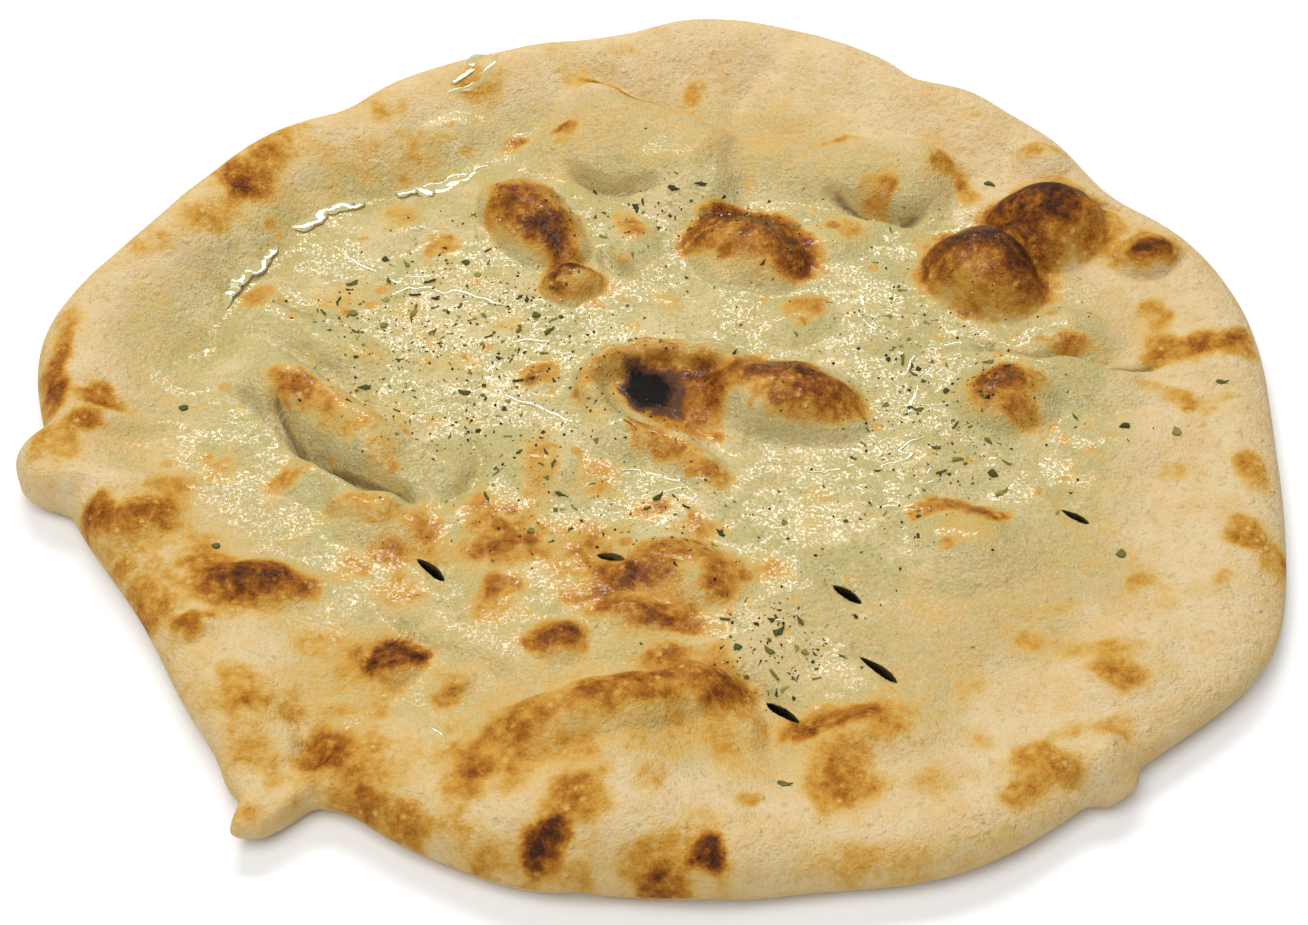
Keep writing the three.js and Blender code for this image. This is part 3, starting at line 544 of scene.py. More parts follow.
TOASTS = toasts(
    # the long blister and the small one below it
    (-32, 59.5, 19, 11.5, 0.34, -54, 0.7), (-39, 61.5, 8, 6.5, 0.46, -30), (-30, 54, 13, 7.5, 0.46, -56),
    (-27, 50, 9, 6, 0.3, -56), (-20.5, 37, 9, 7.5, 0.42, 0, 0.6), (-21, 37.4, 6.6, 3.4, 0.72, 4),
    # the arched blister
    (26, 50, 19, 14, 0.22, -33, 0.8), (27, 50, 13, 8.5, 0.36, -34, 0.9), (37, 42, 5.5, 8, 0.36, -12),
    (41, 27, 6, 6, 0.42),
    # the black-topped blisters on the right
    (88, 41, 18, 15, 0.46, -25, 0.55), (88, 38, 13, 8, 0.26, -10), (85, 43, 14, 5.5, 0.78, -6),
    (96, 40, 7, 5, 0.5, -40), (96, 34, 8, 9, 0.36, -20), (106, 57, 17, 12, 0.5, -4, 0.5),
    (106, 60, 14, 4, 0.72, -4), (107, 56, 9, 5, 0.6), (96, 56, 7, 7, 0.3),
    (129, 44.5, 9.5, 6.5, 0.4, 0, 0.6), (129.5, 43.5, 6.5, 3.4, 0.66), (88, -3, 11, 9, 0.36, 0, 0.8),
    (87, -1, 8, 6, 0.52), (93, -11, 9, 5, 0.32, -20),
    # the middle blister, the burst one and its lobe
    (36, -3, 17, 10, 0.26, -15, 1.0), (25, 1.5, 12, 6, 0.26, -12), (42, -2, 9, 4.4, 0.44, -24),
    (40, -10.5, 13, 6, 0.36, -12), (29, -9.5, 5, 4, 0.24), (-1, 8.5, 13, 5, 0.24, -4),
    (0, 1, 11, 8, 0.46, -40, 0.9), (9, 6.5, 7, 5.5, 0.34), (-11, 1, 5, 8, 0.2, 10),
    (12, -2, 7, 12, 0.4, 14), (13, -6, 5, 9, 0.2, 20), (5, -9, 8, 5, 0.4, -40), (0, -19, 9, 6, 0.42, -30),
    (-4, -14, 5, 3.5, 0.2, -30), (9, -24, 9, 5, 0.3, -36), (16.5, -28, 5.5, 4, 0.34, -20),
    # middle and front
    (-27, -26, 7, 9.5, 0.34), (-27.5, 5, 6, 5, 0.46), (3, -55.5, 11, 7.5, 0.44, 10), (18, -59, 6, 6.5, 0.4),
    (-9, -58, 6, 5, 0.26), (13, -43, 8, 3, 0.3), (3, -38, 9, 3, 0.26, 6), (-19, -63, 8, 4.5, 0.3),
    (-2, -69, 13, 4, 0.42), (8, -73, 8, 3.2, 0.42, -16), (28.5, -57, 5, 4.5, 0.34),
    (-21, -76.5, 8, 5.6, 0.52), (-21, -75, 5, 3, 0.3), (-37, -67.5, 7, 6, 0.24), (-34.5, -61, 5, 4, 0.44),
    (-35, -48, 6, 5, 0.16), (-58.5, -83.3, 6.4, 5, 0.72, 0, 0.6), (-60, -84, 12, 9, 0.26),
    (-44.5, -88.5, 5, 3.5, 0.32), (-46, -93.5, 4, 3.5, 0.36), (40, -35, 6, 3.5, 0.24),
    (53, -42, 5, 3, 0.18),
    # left
    (-91, -60.5, 15, 6.6, 0.48, -4), (-92, -59.5, 10, 4, 0.3, -4), (-98, -64, 8, 5.5, 0.28),
    (-84, -61, 10, 5, 0.22), (-105, -75, 5, 3.6, 0.48), (-130, -43.5, 5, 4, 0.4),
    (-121, -45.5, 8, 6, 0.32, -12), (-124, -49, 15, 10, 0.2, -20), (-66, -40.5, 12, 5, 0.34, -12),
    (-53, -44, 5, 5, 0.32), (-63.5, -49.5, 5, 3.5, 0.3), (-70, -58, 5, 4.5, 0.3), (-58, -63, 8, 6, 0.24),
    (-84, -47, 4, 3, 0.22), (-88, -26, 5, 4, 0.28), (-90, -31, 4.5, 4, 0.34),
    (-90, -4.5, 6, 3.4, 0.32, -20), (-101, 33, 6, 5, 0.32), (-81, 34, 9, 6, 0.22), (-63, 28, 5, 5, 0.26),
    (-68, 62, 7, 8, 0.32), (-55, 50, 5, 4.5, 0.36), (-36, 21, 6, 4, 0.2), (-74, 10, 9, 5, 0.2),
    (-48, 10, 7, 5, 0.2), (-56, 20, 8, 5, 0.16), (4.5, 31, 6, 5.5, 0.24), (-126, 0, 7, 4, 0.14),
    (-130, 28, 6, 5, 0.16), (-147.5, 0, 5, 13, 0.5), (-148, 16, 4, 7, 0.26), (-134.5, -7, 7, 3.6, 0.42, -8),
    (-138, -15, 5, 4, 0.38), (-143, -24, 8, 7, 0.26), (-129, 43, 7, 5, 0.26), (-115, 54, 12, 7, 0.28, 30),
    (-107, 70, 12, 7.5, 0.44, 40), (-111, 67, 7, 5, 0.28, 40), (-100, 82, 9, 6, 0.26, 40),
    (-80, 81, 10, 7, 0.18), (-73, 95, 5, 5, 0.26), (-63, 86, 7, 6, 0.16), (-48, 108, 8, 6, 0.32),
    (-38.5, 91, 5, 3.6, 0.42), (-23.5, 91, 4.6, 5.6, 0.46),
    # back
    (-21, 114, 6, 4, 0.28), (-13, 111.5, 7, 1.8, 0.52, -22), (-4, 104.5, 9, 3.2, 0.5, -24),
    (7, 98.5, 8, 2.4, 0.36, -30), (-8, 123, 7, 3.5, 0.22), (12, 111, 5, 4.5, 0.32), (51, 86, 8, 3.2, 0.34),
    (62, 68.5, 5, 8.5, 0.42), (79, 77, 8, 6, 0.44, -24), (84.5, 70, 4, 3.6, 0.38), (51, 58, 8, 5, 0.3),
    (-6, 57, 5, 7, 0.42, 8), (107, 80, 9, 6, 0.3), (89, 96, 6, 4, 0.22),
    # right
    (106.5, 15, 7, 4, 0.3), (129.5, 26, 5, 5.5, 0.42), (128, 18, 5, 5, 0.3), (138, 13.5, 12, 5.4, 0.5, 2),
    (149, 13, 6, 5, 0.34), (124, 0.5, 6, 3, 0.24), (132, -3, 6, 3.6, 0.3), (139, -6, 7, 4, 0.24),
    (146, -29, 5, 8, 0.44, 8), (141, -48.5, 6.5, 6.5, 0.48), (147, -56, 4.5, 6, 0.3),
    (128, -28, 7, 4, 0.22), (113.5, -61, 5, 4.5, 0.3), (134.5, -62.5, 4.5, 3.8, 0.28),
    (121, -66, 5, 4, 0.2), (95.5, -68, 8, 3, 0.22), (87.5, -76, 5.6, 4, 0.46), (98, -80.5, 7, 4.5, 0.24),
    (108, -82, 7, 4.5, 0.3), (105.5, -90, 7, 5.5, 0.42), (100, -87, 6, 4, 0.24), (72, -91, 5, 5, 0.2),
    (92, -103, 5, 4, 0.24), (101, -103, 5, 4, 0.28), (115, -89, 5, 4, 0.18), (86, -113, 9, 7, 0.46),
    (80, -120.5, 5.5, 4, 0.36), (61, -118, 6, 5, 0.22), (73, -103.5, 4.5, 3.6, 0.26),
    (81, -39.5, 6, 2.4, 0.3), (76, -48, 10, 6, 0.26),
    # the front hump and the front edge
    (-6, -103, 32, 11, 0.22, 8, 0.9), (-3, -92, 8, 3.4, 0.3, 6), (7, -84, 11, 5, 0.34, 12),
    (16, -92, 7, 8, 0.4, -40), (-34, -112, 14, 12, 0.28), (-23.5, -133.5, 6, 3.6, 0.76, 0, 0.8),
    (-22, -133, 13, 8, 0.2), (-15, -125, 8, 7.5, 0.5), (12, -136.5, 5, 4, 0.78, 0, 0.8),
    (3, -142, 6, 4, 0.46), (4, -136, 9, 5, 0.22), (-1, -119, 5, 4.5, 0.28), (19.5, -122, 4.4, 3.6, 0.36),
    (18, -110, 6, 5, 0.2), (40, -136, 8, 4.5, 0.16), (52, -135, 8, 4.5, 0.14), (41.5, -117, 9, 11, 0.34),
    (42.5, -98.5, 9, 5, 0.4, 8), (34.5, -101, 5, 4, 0.42), (52, -100, 11, 9, 0.24),
    (-71.5, -108, 7, 6, 0.54), (-62, -112, 13, 9, 0.2), (-93.5, -87, 5, 4, 0.24), (-91, -95, 6, 5, 0.34),
    (-85, -99, 6, 4.5, 0.28), (-50, -127, 8, 5, 0.28), (-62, -122, 7, 5, 0.24),
    # wide faint gilding
    (-58, -108, 44, 26, 0.12, 0, 1.1), (-108, -66, 34, 26, 0.16, -50, 1.1),
    (-14, -62, 66, 26, 0.12, 0, 1.1), (-84, 80, 52, 20, 0.06, 38, 1.1), (36, -106, 36, 18, 0.17, 0, 1.1),
    (-38, 88, 40, 20, 0.05, 10, 1.1),
)
SCORCHES = (
    Scorch(((13, 53), (17, 58), (24, 60.5), (31, 57.5), (36.5, 50), (38.5, 42)), 6, 0.5),
    Scorch(((20, 60), (27, 60), (32, 56)), 4, 0.45),
    Scorch(((15, 4.4), (24, 3.6), (34, 0.6), (42, -3.6), (47, -7)), 7.5, 0.42),
    Scorch(((-13, -10), (-16, -4), (-16, 3.5), (-12, 10.5), (-3, 14), (6, 13)), 2.6, 0.22),
    Scorch(((-94, -3), (-87, -7), (-79, -14), (-74, -18)), 5, 0.3),
    Scorch(((65, -40), (74, -38.5), (84, -40)), 3.6, 0.46),
    Scorch(((-27, -102), (-14, -98), (-1, -94.5), (9, -92), (17, -97)), 6, 0.28),
)
CHARRED = toasts(
    (-0.8, 2.8, 7, 5.6, 1.0, -30, 1.1), (0.5, 1.5, 10.5, 8, 0.3, -35, 0.9), (5, -4, 6, 4.4, 0.28, -45, 1.0),
)
BLUSHES = (
    RimBlush(150, 34, 4, 9, 0.18),
    RimBlush(110, 14, 4, 8, 0.14),
    RimBlush(204, 12, 3, 8, 0.1),
    RimBlush(262, 22, 1.5, 6, 0.18),
    RimBlush(295, 16, 1.5, 6, 0.16),
    RimBlush(60, 16, 3, 6, 0.12),
    RimBlush(330, 20, 1.5, 5, 0.14),
)
OILED = toasts(
    (-16, 8, 100, 66, 1.0, 4, 0.5), (48, 0, 66, 58, 1.0, 0, 0.5), (-60, 88, 34, 22, 0.8, 20, 0.7),
    (-95, 44, 34, 20, 0.9, 55, 0.6), (-40, -62, 56, 26, 0.6, -6, 0.9), (30, -80, 26, 16, 0.7, 0, 0.8),
    (-58, -98, 22, 16, 0.45, 0, 1.0), (-70, -24, 40, 20, 0.6, -25, 0.9), (78, 58, 26, 14, 0.6, -20, 0.9),
)
HERBED = toasts(
    (-52, 18, 42, 34, 0.8, 0, 1.0), (-36, -12, 36, 18, 0.6, 0, 1.0), (70, -6, 24, 34, 0.6, 0, 1.0),
    (28, -80, 16, 14, 0.9, 0, 0.8), (-4, 60, 70, 14, 0.5, 0, 1.0), (62, 24, 24, 14, 0.5, 0, 1.0),
    (20, 0, 110, 80, 0.3, 0, 0.8), (4, -42, 70, 14, 0.45, 0, 1.0),
)


@dataclass(frozen=True)
class Baking:
    """Works out the colour fields of the crust, each from 0 to 1, from the named patches."""

    form: BreadForm
    warp: float = 2.8
    ragged: float = 0.2

    def _warped(self, x: Array, y: Array, amount: float, seed: int) -> tuple[Array, Array]:
        """Push plan points about, so that patches get dough's uneven edges."""
        return x + amount * patchy(x, y, 9.0, seed), y + amount * patchy(x, y, 9.0, seed + 1)

    def bake(self, x: Array, y: Array) -> Array:
        """Return how browned the top is."""
        deg, inside = self.form.place(x, y)
        wx, wy = self._warped(x, y, self.warp, 3)
        left = np.ones_like(x)
        for patch in (*TOASTS, *SCORCHES):
            left *= 1.0 - np.clip(patch.share(wx, wy), 0.0, 0.98)
        for blush in BLUSHES:
            left *= 1.0 - blush.share(deg, inside)
        tone = 1.0 - left
        fray = self.ragged * patchy(x, y, 5.0, 11, 4) * tone * (1.0 - tone) * 2.0
        front = smooth((30.0 - y) / 80.0) * smooth((70.0 - x) / 90.0)
        faint = np.clip(patchy(x, y, 13.0, 23, 5) - 0.1 + 0.24 * front, 0.0, None) * (0.2 + 0.22 * front)
        tone = np.clip(tone + fray + faint * (1.0 - tone), 0.0, 1.0)
        return tone * (0.84 + 0.16 * tone)

    def char(self, x: Array, y: Array) -> Array:
        """Return how far the burst blister's floor is charred."""
        wx, wy = self._warped(x, y, 1.8, 7)
        burnt = sum(patch.share(wx, wy) for patch in CHARRED)
        return np.clip(burnt + 0.24 * patchy(x, y, 2.4, 31) * np.clip(burnt * 4, 0, 1), 0.0, 1.0)

    def oil(self, x: Array, y: Array) -> Array:
        """Return how oily the top is."""
        wx, wy = self._warped(x, y, 5.0, 13)
        left = np.ones_like(x)
        for patch in OILED:
            left *= 1.0 - np.clip(patch.share(wx, wy), 0.0, 1.0)
        _, inside = self.form.place(x, y)
        return (1.0 - left) * smooth((inside - 12.0) / 12.0)

    def flour(self, x: Array, y: Array) -> Array:
        """Return how floury and dry the crust is."""
        deg, inside = self.form.place(x, y)
        reach = 15.0 + 16.0 * bell(turn_away(deg, 330.0) / 60.0) + 10.0 * bell(turn_away(deg, 65.0) / 34.0)
        edge = 1.0 - smooth((inside - reach * (1.0 + 0.35 * patchy(x, y, 16.0, 41))) / 16.0)
        return np.clip(edge, 0.0, 1.0)

    def herbs(self, x: Array, y: Array) -> Array:
        """Return how thickly the herbs lie."""
        left = np.ones_like(x)
        for patch in HERBED:
            left *= 1.0 - np.clip(patch.share(x, y), 0.0, 1.0)
        _, inside = self.form.place(x, y)
        return (1.0 - left) * smooth((inside - 16.0) / 12.0)


# --- node trees ---


class Shade:
    """A socket of a node tree, on which Python's operators add Math nodes."""

    def __init__(self, tree: "Tree", socket: bpy.types.NodeSocket) -> None:
        """Keep the tree and the socket."""
        self.tree, self.socket = tree, socket

    def _math(self, operation: str, *values: Any) -> "Shade":
        """Add a Math node over the values."""
        return self.tree.node("ShaderNodeMath", {"operation": operation}, dict(enumerate(values))).out()

    def __add__(self, other: Any) -> "Shade":
        """Add."""
        return self._math("ADD", self, other)

    __radd__ = __add__

    def __sub__(self, other: Any) -> "Shade":
        """Take away."""
        return self._math("SUBTRACT", self, other)

    def __rsub__(self, other: Any) -> "Shade":
        """Take away from a number."""
        return self._math("SUBTRACT", other, self)

    def __mul__(self, other: Any) -> "Shade":
        """Multiply."""
        return self._math("MULTIPLY", self, other)

    __rmul__ = __mul__

    def __truediv__(self, other: Any) -> "Shade":
        """Divide."""
        return self._math("DIVIDE", self, other)

    def __pow__(self, other: Any) -> "Shade":
        """Raise to a power."""
        return self._math("POWER", self, other)

    def most(self, other: Any) -> "Shade":
        """Return the larger of the two."""
        return self._math("MAXIMUM", self, other)

    def least(self, other: Any) -> "Shade":
        """Return the smaller of the two."""
        return self._math("MINIMUM", self, other)

    def between(self, low: float, high: float) -> "Shade":
        """Ease from 0 at low to 1 at high."""
        sockets = {0: self, 1: low, 2: high, 3: 0.0, 4: 1.0}
        return self.tree.node("ShaderNodeMapRange", {"interpolation_type": "SMOOTHSTEP"}, sockets).out()


class Added:
    """A node that has been added to a tree."""

    def __init__(self, tree: "Tree", node: bpy.types.Node) -> None:
        """Keep the tree and the node."""
        self.tree, self.node = tree, node

    def out(self, key: int | str = 0) -> Shade:
        """Return one of the node's outputs."""
        return Shade(self.tree, self.node.outputs[key])


class Tree:
    """A node tree, with the one method that adds a node."""

    def __init__(self, tree: bpy.types.NodeTree) -> None:
        """Start from an empty tree."""
        self.tree = tree
        tree.nodes.clear()

    def node(
        self, kind: str, settings: dict[str, Any] | None = None, sockets: dict[Any, Any] | None = None
    ) -> Added:
        """Add a node.

        Args:
            kind: The node's type.
            settings: Its properties, set first. Stops are a colour ramp's positions and colours.
            sockets: Values or links of its inputs, by name or place.

        Returns:
            The node.
        """
        made = self.tree.nodes.new(kind)
        for name, value in (settings or {}).items():
            if name == "stops":
                self._stops(made, value)
            else:
                setattr(made, name, value)
        for key, value in (sockets or {}).items():
            if isinstance(value, Shade):
                self.tree.links.new(value.socket, made.inputs[key])
            else:
                made.inputs[key].default_value = value
        return Added(self, made)

    @staticmethod
    def _stops(ramp: bpy.types.Node, stops: Sequence[tuple[float, Colour]]) -> None:
        """Set a colour ramp's stops."""
        elements = ramp.color_ramp.elements
        while len(elements) > 1:
            elements.remove(elements[-1])
        for k, (at, colour) in enumerate(stops):
            stop = elements[0] if k == 0 else elements.new(at)
            stop.position, stop.color = at, (*colour, 1.0)

    def attribute(self, name: str) -> Shade:
        """Read a number that the mesh carries at its points."""
        return self.node("ShaderNodeAttribute", {"attribute_name": name}).out("Fac")

    def place(self) -> Shade:
        """Read the place on the object."""
        return self.node("ShaderNodeTexCoord").out("Object")

    def noise(self, size_mm: float, detail: float = 3.0, rough: float = 0.5, warp: float = 0.0) -> Shade:
        """Read soft noise whose patches are about a size across, in millimetres."""
        sockets = {"Vector": self.place(), "Scale": 1.0 / (size_mm * MM), "Detail": detail,
                   "Roughness": rough, "Distortion": warp}
        return self.node("ShaderNodeTexNoise", None, sockets).out("Fac")

    def cells(self, size_mm: float) -> Shade:
        """Read the distance to scattered cell middles about a size apart, in millimetres."""
        sockets = {"Vector": self.place(), "Scale": 1.0 / (size_mm * MM), "Randomness": 1.0}
        return self.node("ShaderNodeTexVoronoi", {"feature": "F1"}, sockets).out("Distance")

    def mix(self, share: Shade | float, low: Shade | Colour, high: Shade | Colour) -> Shade:
        """Mix two colours."""
        a = low if isinstance(low, Shade) else (*low, 1.0)
        b = high if isinstance(high, Shade) else (*high, 1.0)
        settings = {"data_type": "RGBA", "clamp_factor": True}
        return self.node("ShaderNodeMix", settings, {0: share, 6: a, 7: b}).out(2)

    def ramp(self, value: Shade, stops: Sequence[tuple[float, Colour]]) -> Shade:
        """Turn a number into a colour."""
        return self.node("ShaderNodeValToRGB", {"stops": stops}, {0: value}).out("Color")

    def bump(self, height: Shade, deep_mm: float) -> Shade:
        """Turn a height from 0 to 1 into relief of a depth in millimetres."""
        sockets = {"Height": height, "Distance": deep_mm * MM, "Strength": 1.0}
        return self.node("ShaderNodeBump", None, sockets).out("Normal")

    def surface(self, sockets: dict[str, Any]) -> None:
        """End a material in one shader with the given sockets."""
        shader = self.node("ShaderNodeBsdfPrincipled", None, sockets)
        self.node("ShaderNodeOutputMaterial", None, {0: shader.out()})

    def read(self, name: str, kind: str = "FLOAT") -> Shade:
        """Read a value that the points carry, in a geometry tree."""
        return self.node("GeometryNodeInputNamedAttribute", {"data_type": kind}, {"Name": name}).out()

    def draw(self, low: Any, high: Any, seed: Shade, kind: str = "FLOAT") -> Shade:
        """Draw a value between two limits for each point, in a geometry tree."""
        first = {"FLOAT_VECTOR": 0, "FLOAT": 2, "INT": 4}[kind]
        sockets = {first: low, first + 1: high, "Seed": seed}
        return self.node("FunctionNodeRandomValue", {"data_type": kind}, sockets).out(first // 2)

    def join(self, parts: Sequence[Shade]) -> Shade:
        """Join geometries."""
        joined = self.node("GeometryNodeJoinGeometry")
        for part in parts:
            self.tree.links.new(part.socket, joined.node.inputs[0])
        return joined.out()


def new_material(name: str) -> tuple[bpy.types.Material, Tree]:
    """Make an empty node material."""
    material = bpy.data.materials.new(name)
    material.use_nodes = True
    return material, Tree(material.node_tree)


# --- finishes ---


@dataclass(frozen=True)
class CrustFinish:
    """Baked crust: cream to brown and burnt, floury at the rim, oily in the middle, with painted shade in the
    deep creases and a painted sheen on the oil.
    """

    cream: Colour = (0.54, 0.405, 0.165)
    floury: Colour = (0.69, 0.525, 0.285)
    oily: Colour = (0.44, 0.39, 0.14)
    # Painted sheen: pale cream laid over the oil where it would shine.
    painted_sheen: Colour = (0.78, 0.72, 0.46)
    soaked: Colour = (0.42, 0.33, 0.09)
    # Painted shade: the near-black colour put into the deep creases, where shade falls.
    crease_shade: Colour = (0.16, 0.11, 0.04)
    gilt: Colour = (0.63, 0.35, 0.07)
    dust: Colour = (0.74, 0.62, 0.42)
    umber: Colour = (0.085, 0.036, 0.022)
    charcoal: Colour = (0.010, 0.008, 0.007)
    stops: tuple[tuple[float, Colour], ...] = (
        (0.0, (0.64, 0.47, 0.17)),
        (0.17, (0.65, 0.415, 0.105)),
        (0.34, (0.55, 0.28, 0.042)),
        (0.5, (0.38, 0.14, 0.013)),
        (0.66, (0.215, 0.063, 0.006)),
        (0.82, (0.105, 0.030, 0.006)),
        (1.0, (0.042, 0.014, 0.006)),
    )

    def make(self) -> bpy.types.Material:
        """Build the material."""
        material, t = new_material("crust")
        bake, char, oil = t.attribute("bake"), t.attribute("char"), t.attribute("oil")
        flour, oil_and_crease_shade = t.attribute("flour"), t.attribute("oil_and_crease_shade")
        grain, freckle, glint = t.noise(0.7, 4.0, 0.6), t.noise(2.0, 3.0, 0.6), t.noise(0.8, 3.0, 0.6)
        blot, mottle = t.noise(4.5, 5.0, 0.62, 0.3), t.noise(14.0, 5.0, 0.6, 0.4)
        bake = bake * ((blot - 0.5) * 1.5 + (freckle - 0.5) * 0.9 + 1.0)
        bubble = (1.0 - t.cells(3.2).between(0.1, 0.36)) * t.noise(6.0, 1.0).between(0.42, 0.58)
        pimple = (1.0 - t.cells(1.0).between(0.08, 0.5)) * t.noise(3.0, 2.0).between(0.35, 0.65)
        ring = (1.0 - t.cells(8.5).between(0.16, 0.3)) * t.noise(12.0, 1.0).between(0.46, 0.56)
        plain = t.mix(flour, t.mix(oil * 0.85, self.cream, self.oily), self.floury)
        # The soaked olive is oil in the channel and the pocket; in the deep creases it is oil and painted
        # shade.
        plain = t.mix(oil_and_crease_shade.between(0.0, 0.6) * 0.7, plain, self.soaked)
        plain = t.mix(mottle.between(0.44, 0.66) * (0.58 - flour * 0.2 - oil * 0.26), plain, self.gilt)
        speckle = (blot * 0.55 + freckle * 0.45).between(0.47, 0.6)
        plain = t.mix(speckle * (0.46 - flour * 0.14 - oil * 0.2), plain, self.gilt)
        plain = t.mix((grain - 0.44) * 1.5 + pimple * 0.34, plain, self.dust)
        plain = t.mix((0.46 - freckle).between(0.0, 0.16) * 0.5, plain, self.soaked)
        # Painted sheen: pale cream patches over the oil, standing in for its shine.
        plain = t.mix((glint * 0.45 + mottle * 0.55).between(0.46, 0.6) * oil * 0.4, plain, self.painted_sheen)
        tone = bake + (grain - 0.5) * bake * 0.5
        tone = tone + ring * oil * (1.0 - bake) * 0.26
        tone = tone - bubble * bake.between(0.15, 0.5) * 0.2 - pimple * bake * 0.12
        colour = t.mix(tone.between(0.02, 0.34), plain, t.ramp(tone, self.stops))
        # Painted shade: the deep creases turn near black where the crease value passes 0.55.
        colour = t.mix(oil_and_crease_shade.between(0.55, 1.0) * 0.85, colour, self.crease_shade)
        colour = t.mix(char.between(0.1, 0.42) * 0.9, colour, self.umber)
        colour = t.mix((char + (grain - 0.5) * 0.7 * char).between(0.42, 0.9), colour, self.charcoal)
        wet = oil * (0.55 + (blot - 0.5) * 0.9)
        rough = 0.62 - wet.between(0.1, 0.55) * 0.3 + (grain - 0.5) * 0.12 - bake.between(0.3, 0.7) * 0.08
        sparkle = glint.between(0.52, 0.6) * (blot * 1.6 - 0.2)
        gloss = (wet.between(0.1, 0.5) + 0.14 - flour * 0.14) * (0.06 + sparkle)
        relief = grain * 0.42 + freckle * 0.6 + pimple * 0.16 + bubble * 0.28 + blot * 0.5
        t.surface({
            "Base Color": colour,
            "Roughness": (rough + char * 0.3).most(0.16).least(0.95),
            "Normal": t.bump(relief, 1.0),
            "Specular IOR Level": 0.09,
            "Coat Weight": gloss * (1.0 - char) * (1.0 - bake.between(0.3, 0.7) * 0.6),
            "Coat Roughness": 0.1,
        })
        return material


@dataclass(frozen=True)
class CrumbShadeFinish:
    """The torn dough inside a slit, painted near black deep down as shade and brown higher up."""

    # Painted shade: near black deep in the slit, and crumb darker than dough towards the top.
    dark: Colour = (0.012, 0.008, 0.004)
    light: Colour = (0.26, 0.19, 0.075)

    def make(self) -> bpy.types.Material:
        """Build the material."""
        material, t = new_material("slit_crumb_shade")
        blot = t.noise(1.6, 4.0, 0.6)
        height = t.node("ShaderNodeSeparateXYZ", None, {0: t.place()}).out("Z")
        # Painted shade: the wall is lighter the higher up it is and darker the deeper it goes.
        open_to_light = (height / MM + (blot - 0.5) * 3.0).between(4.5, 9.5)
        t.surface({"Base Color": t.mix(open_to_light, self.dark, self.light), "Roughness": 0.75,
                   "Specular IOR Level": 0.15, "Normal": t.bump(blot, 0.6)})
        return material


# --- pieces ---


def add_object(name: str, mesh: bpy.types.Mesh) -> bpy.types.Object:
    """Put a mesh in the scene at the origin."""
    made = bpy.data.objects.new(name, mesh)
    bpy.context.scene.collection.objects.link(made)
    return made


def mesh_from(name: str, points: Array, faces: Array | Sequence[Sequence[int]]) -> bpy.types.Mesh:
    """Make a mesh.

    Args:
        name: The mesh's name.
        points: Places in metres.
        faces: Corners of each face, turning left seen from outside.

    Returns:
        The mesh.
    """
    mesh = bpy.data.meshes.new(name)
    mesh.from_pydata(points.tolist(), [], faces.tolist() if isinstance(faces, np.ndarray) else faces)
    mesh.update()
    return mesh


def applied(thing: bpy.types.Object) -> bpy.types.Mesh:
    """Return a plain mesh of an object with its modifiers worked in."""
    graph = bpy.context.evaluated_depsgraph_get()
    final = thing.evaluated_get(graph)
    return bpy.data.meshes.new_from_object(final, preserve_all_data_layers=True, depsgraph=graph)


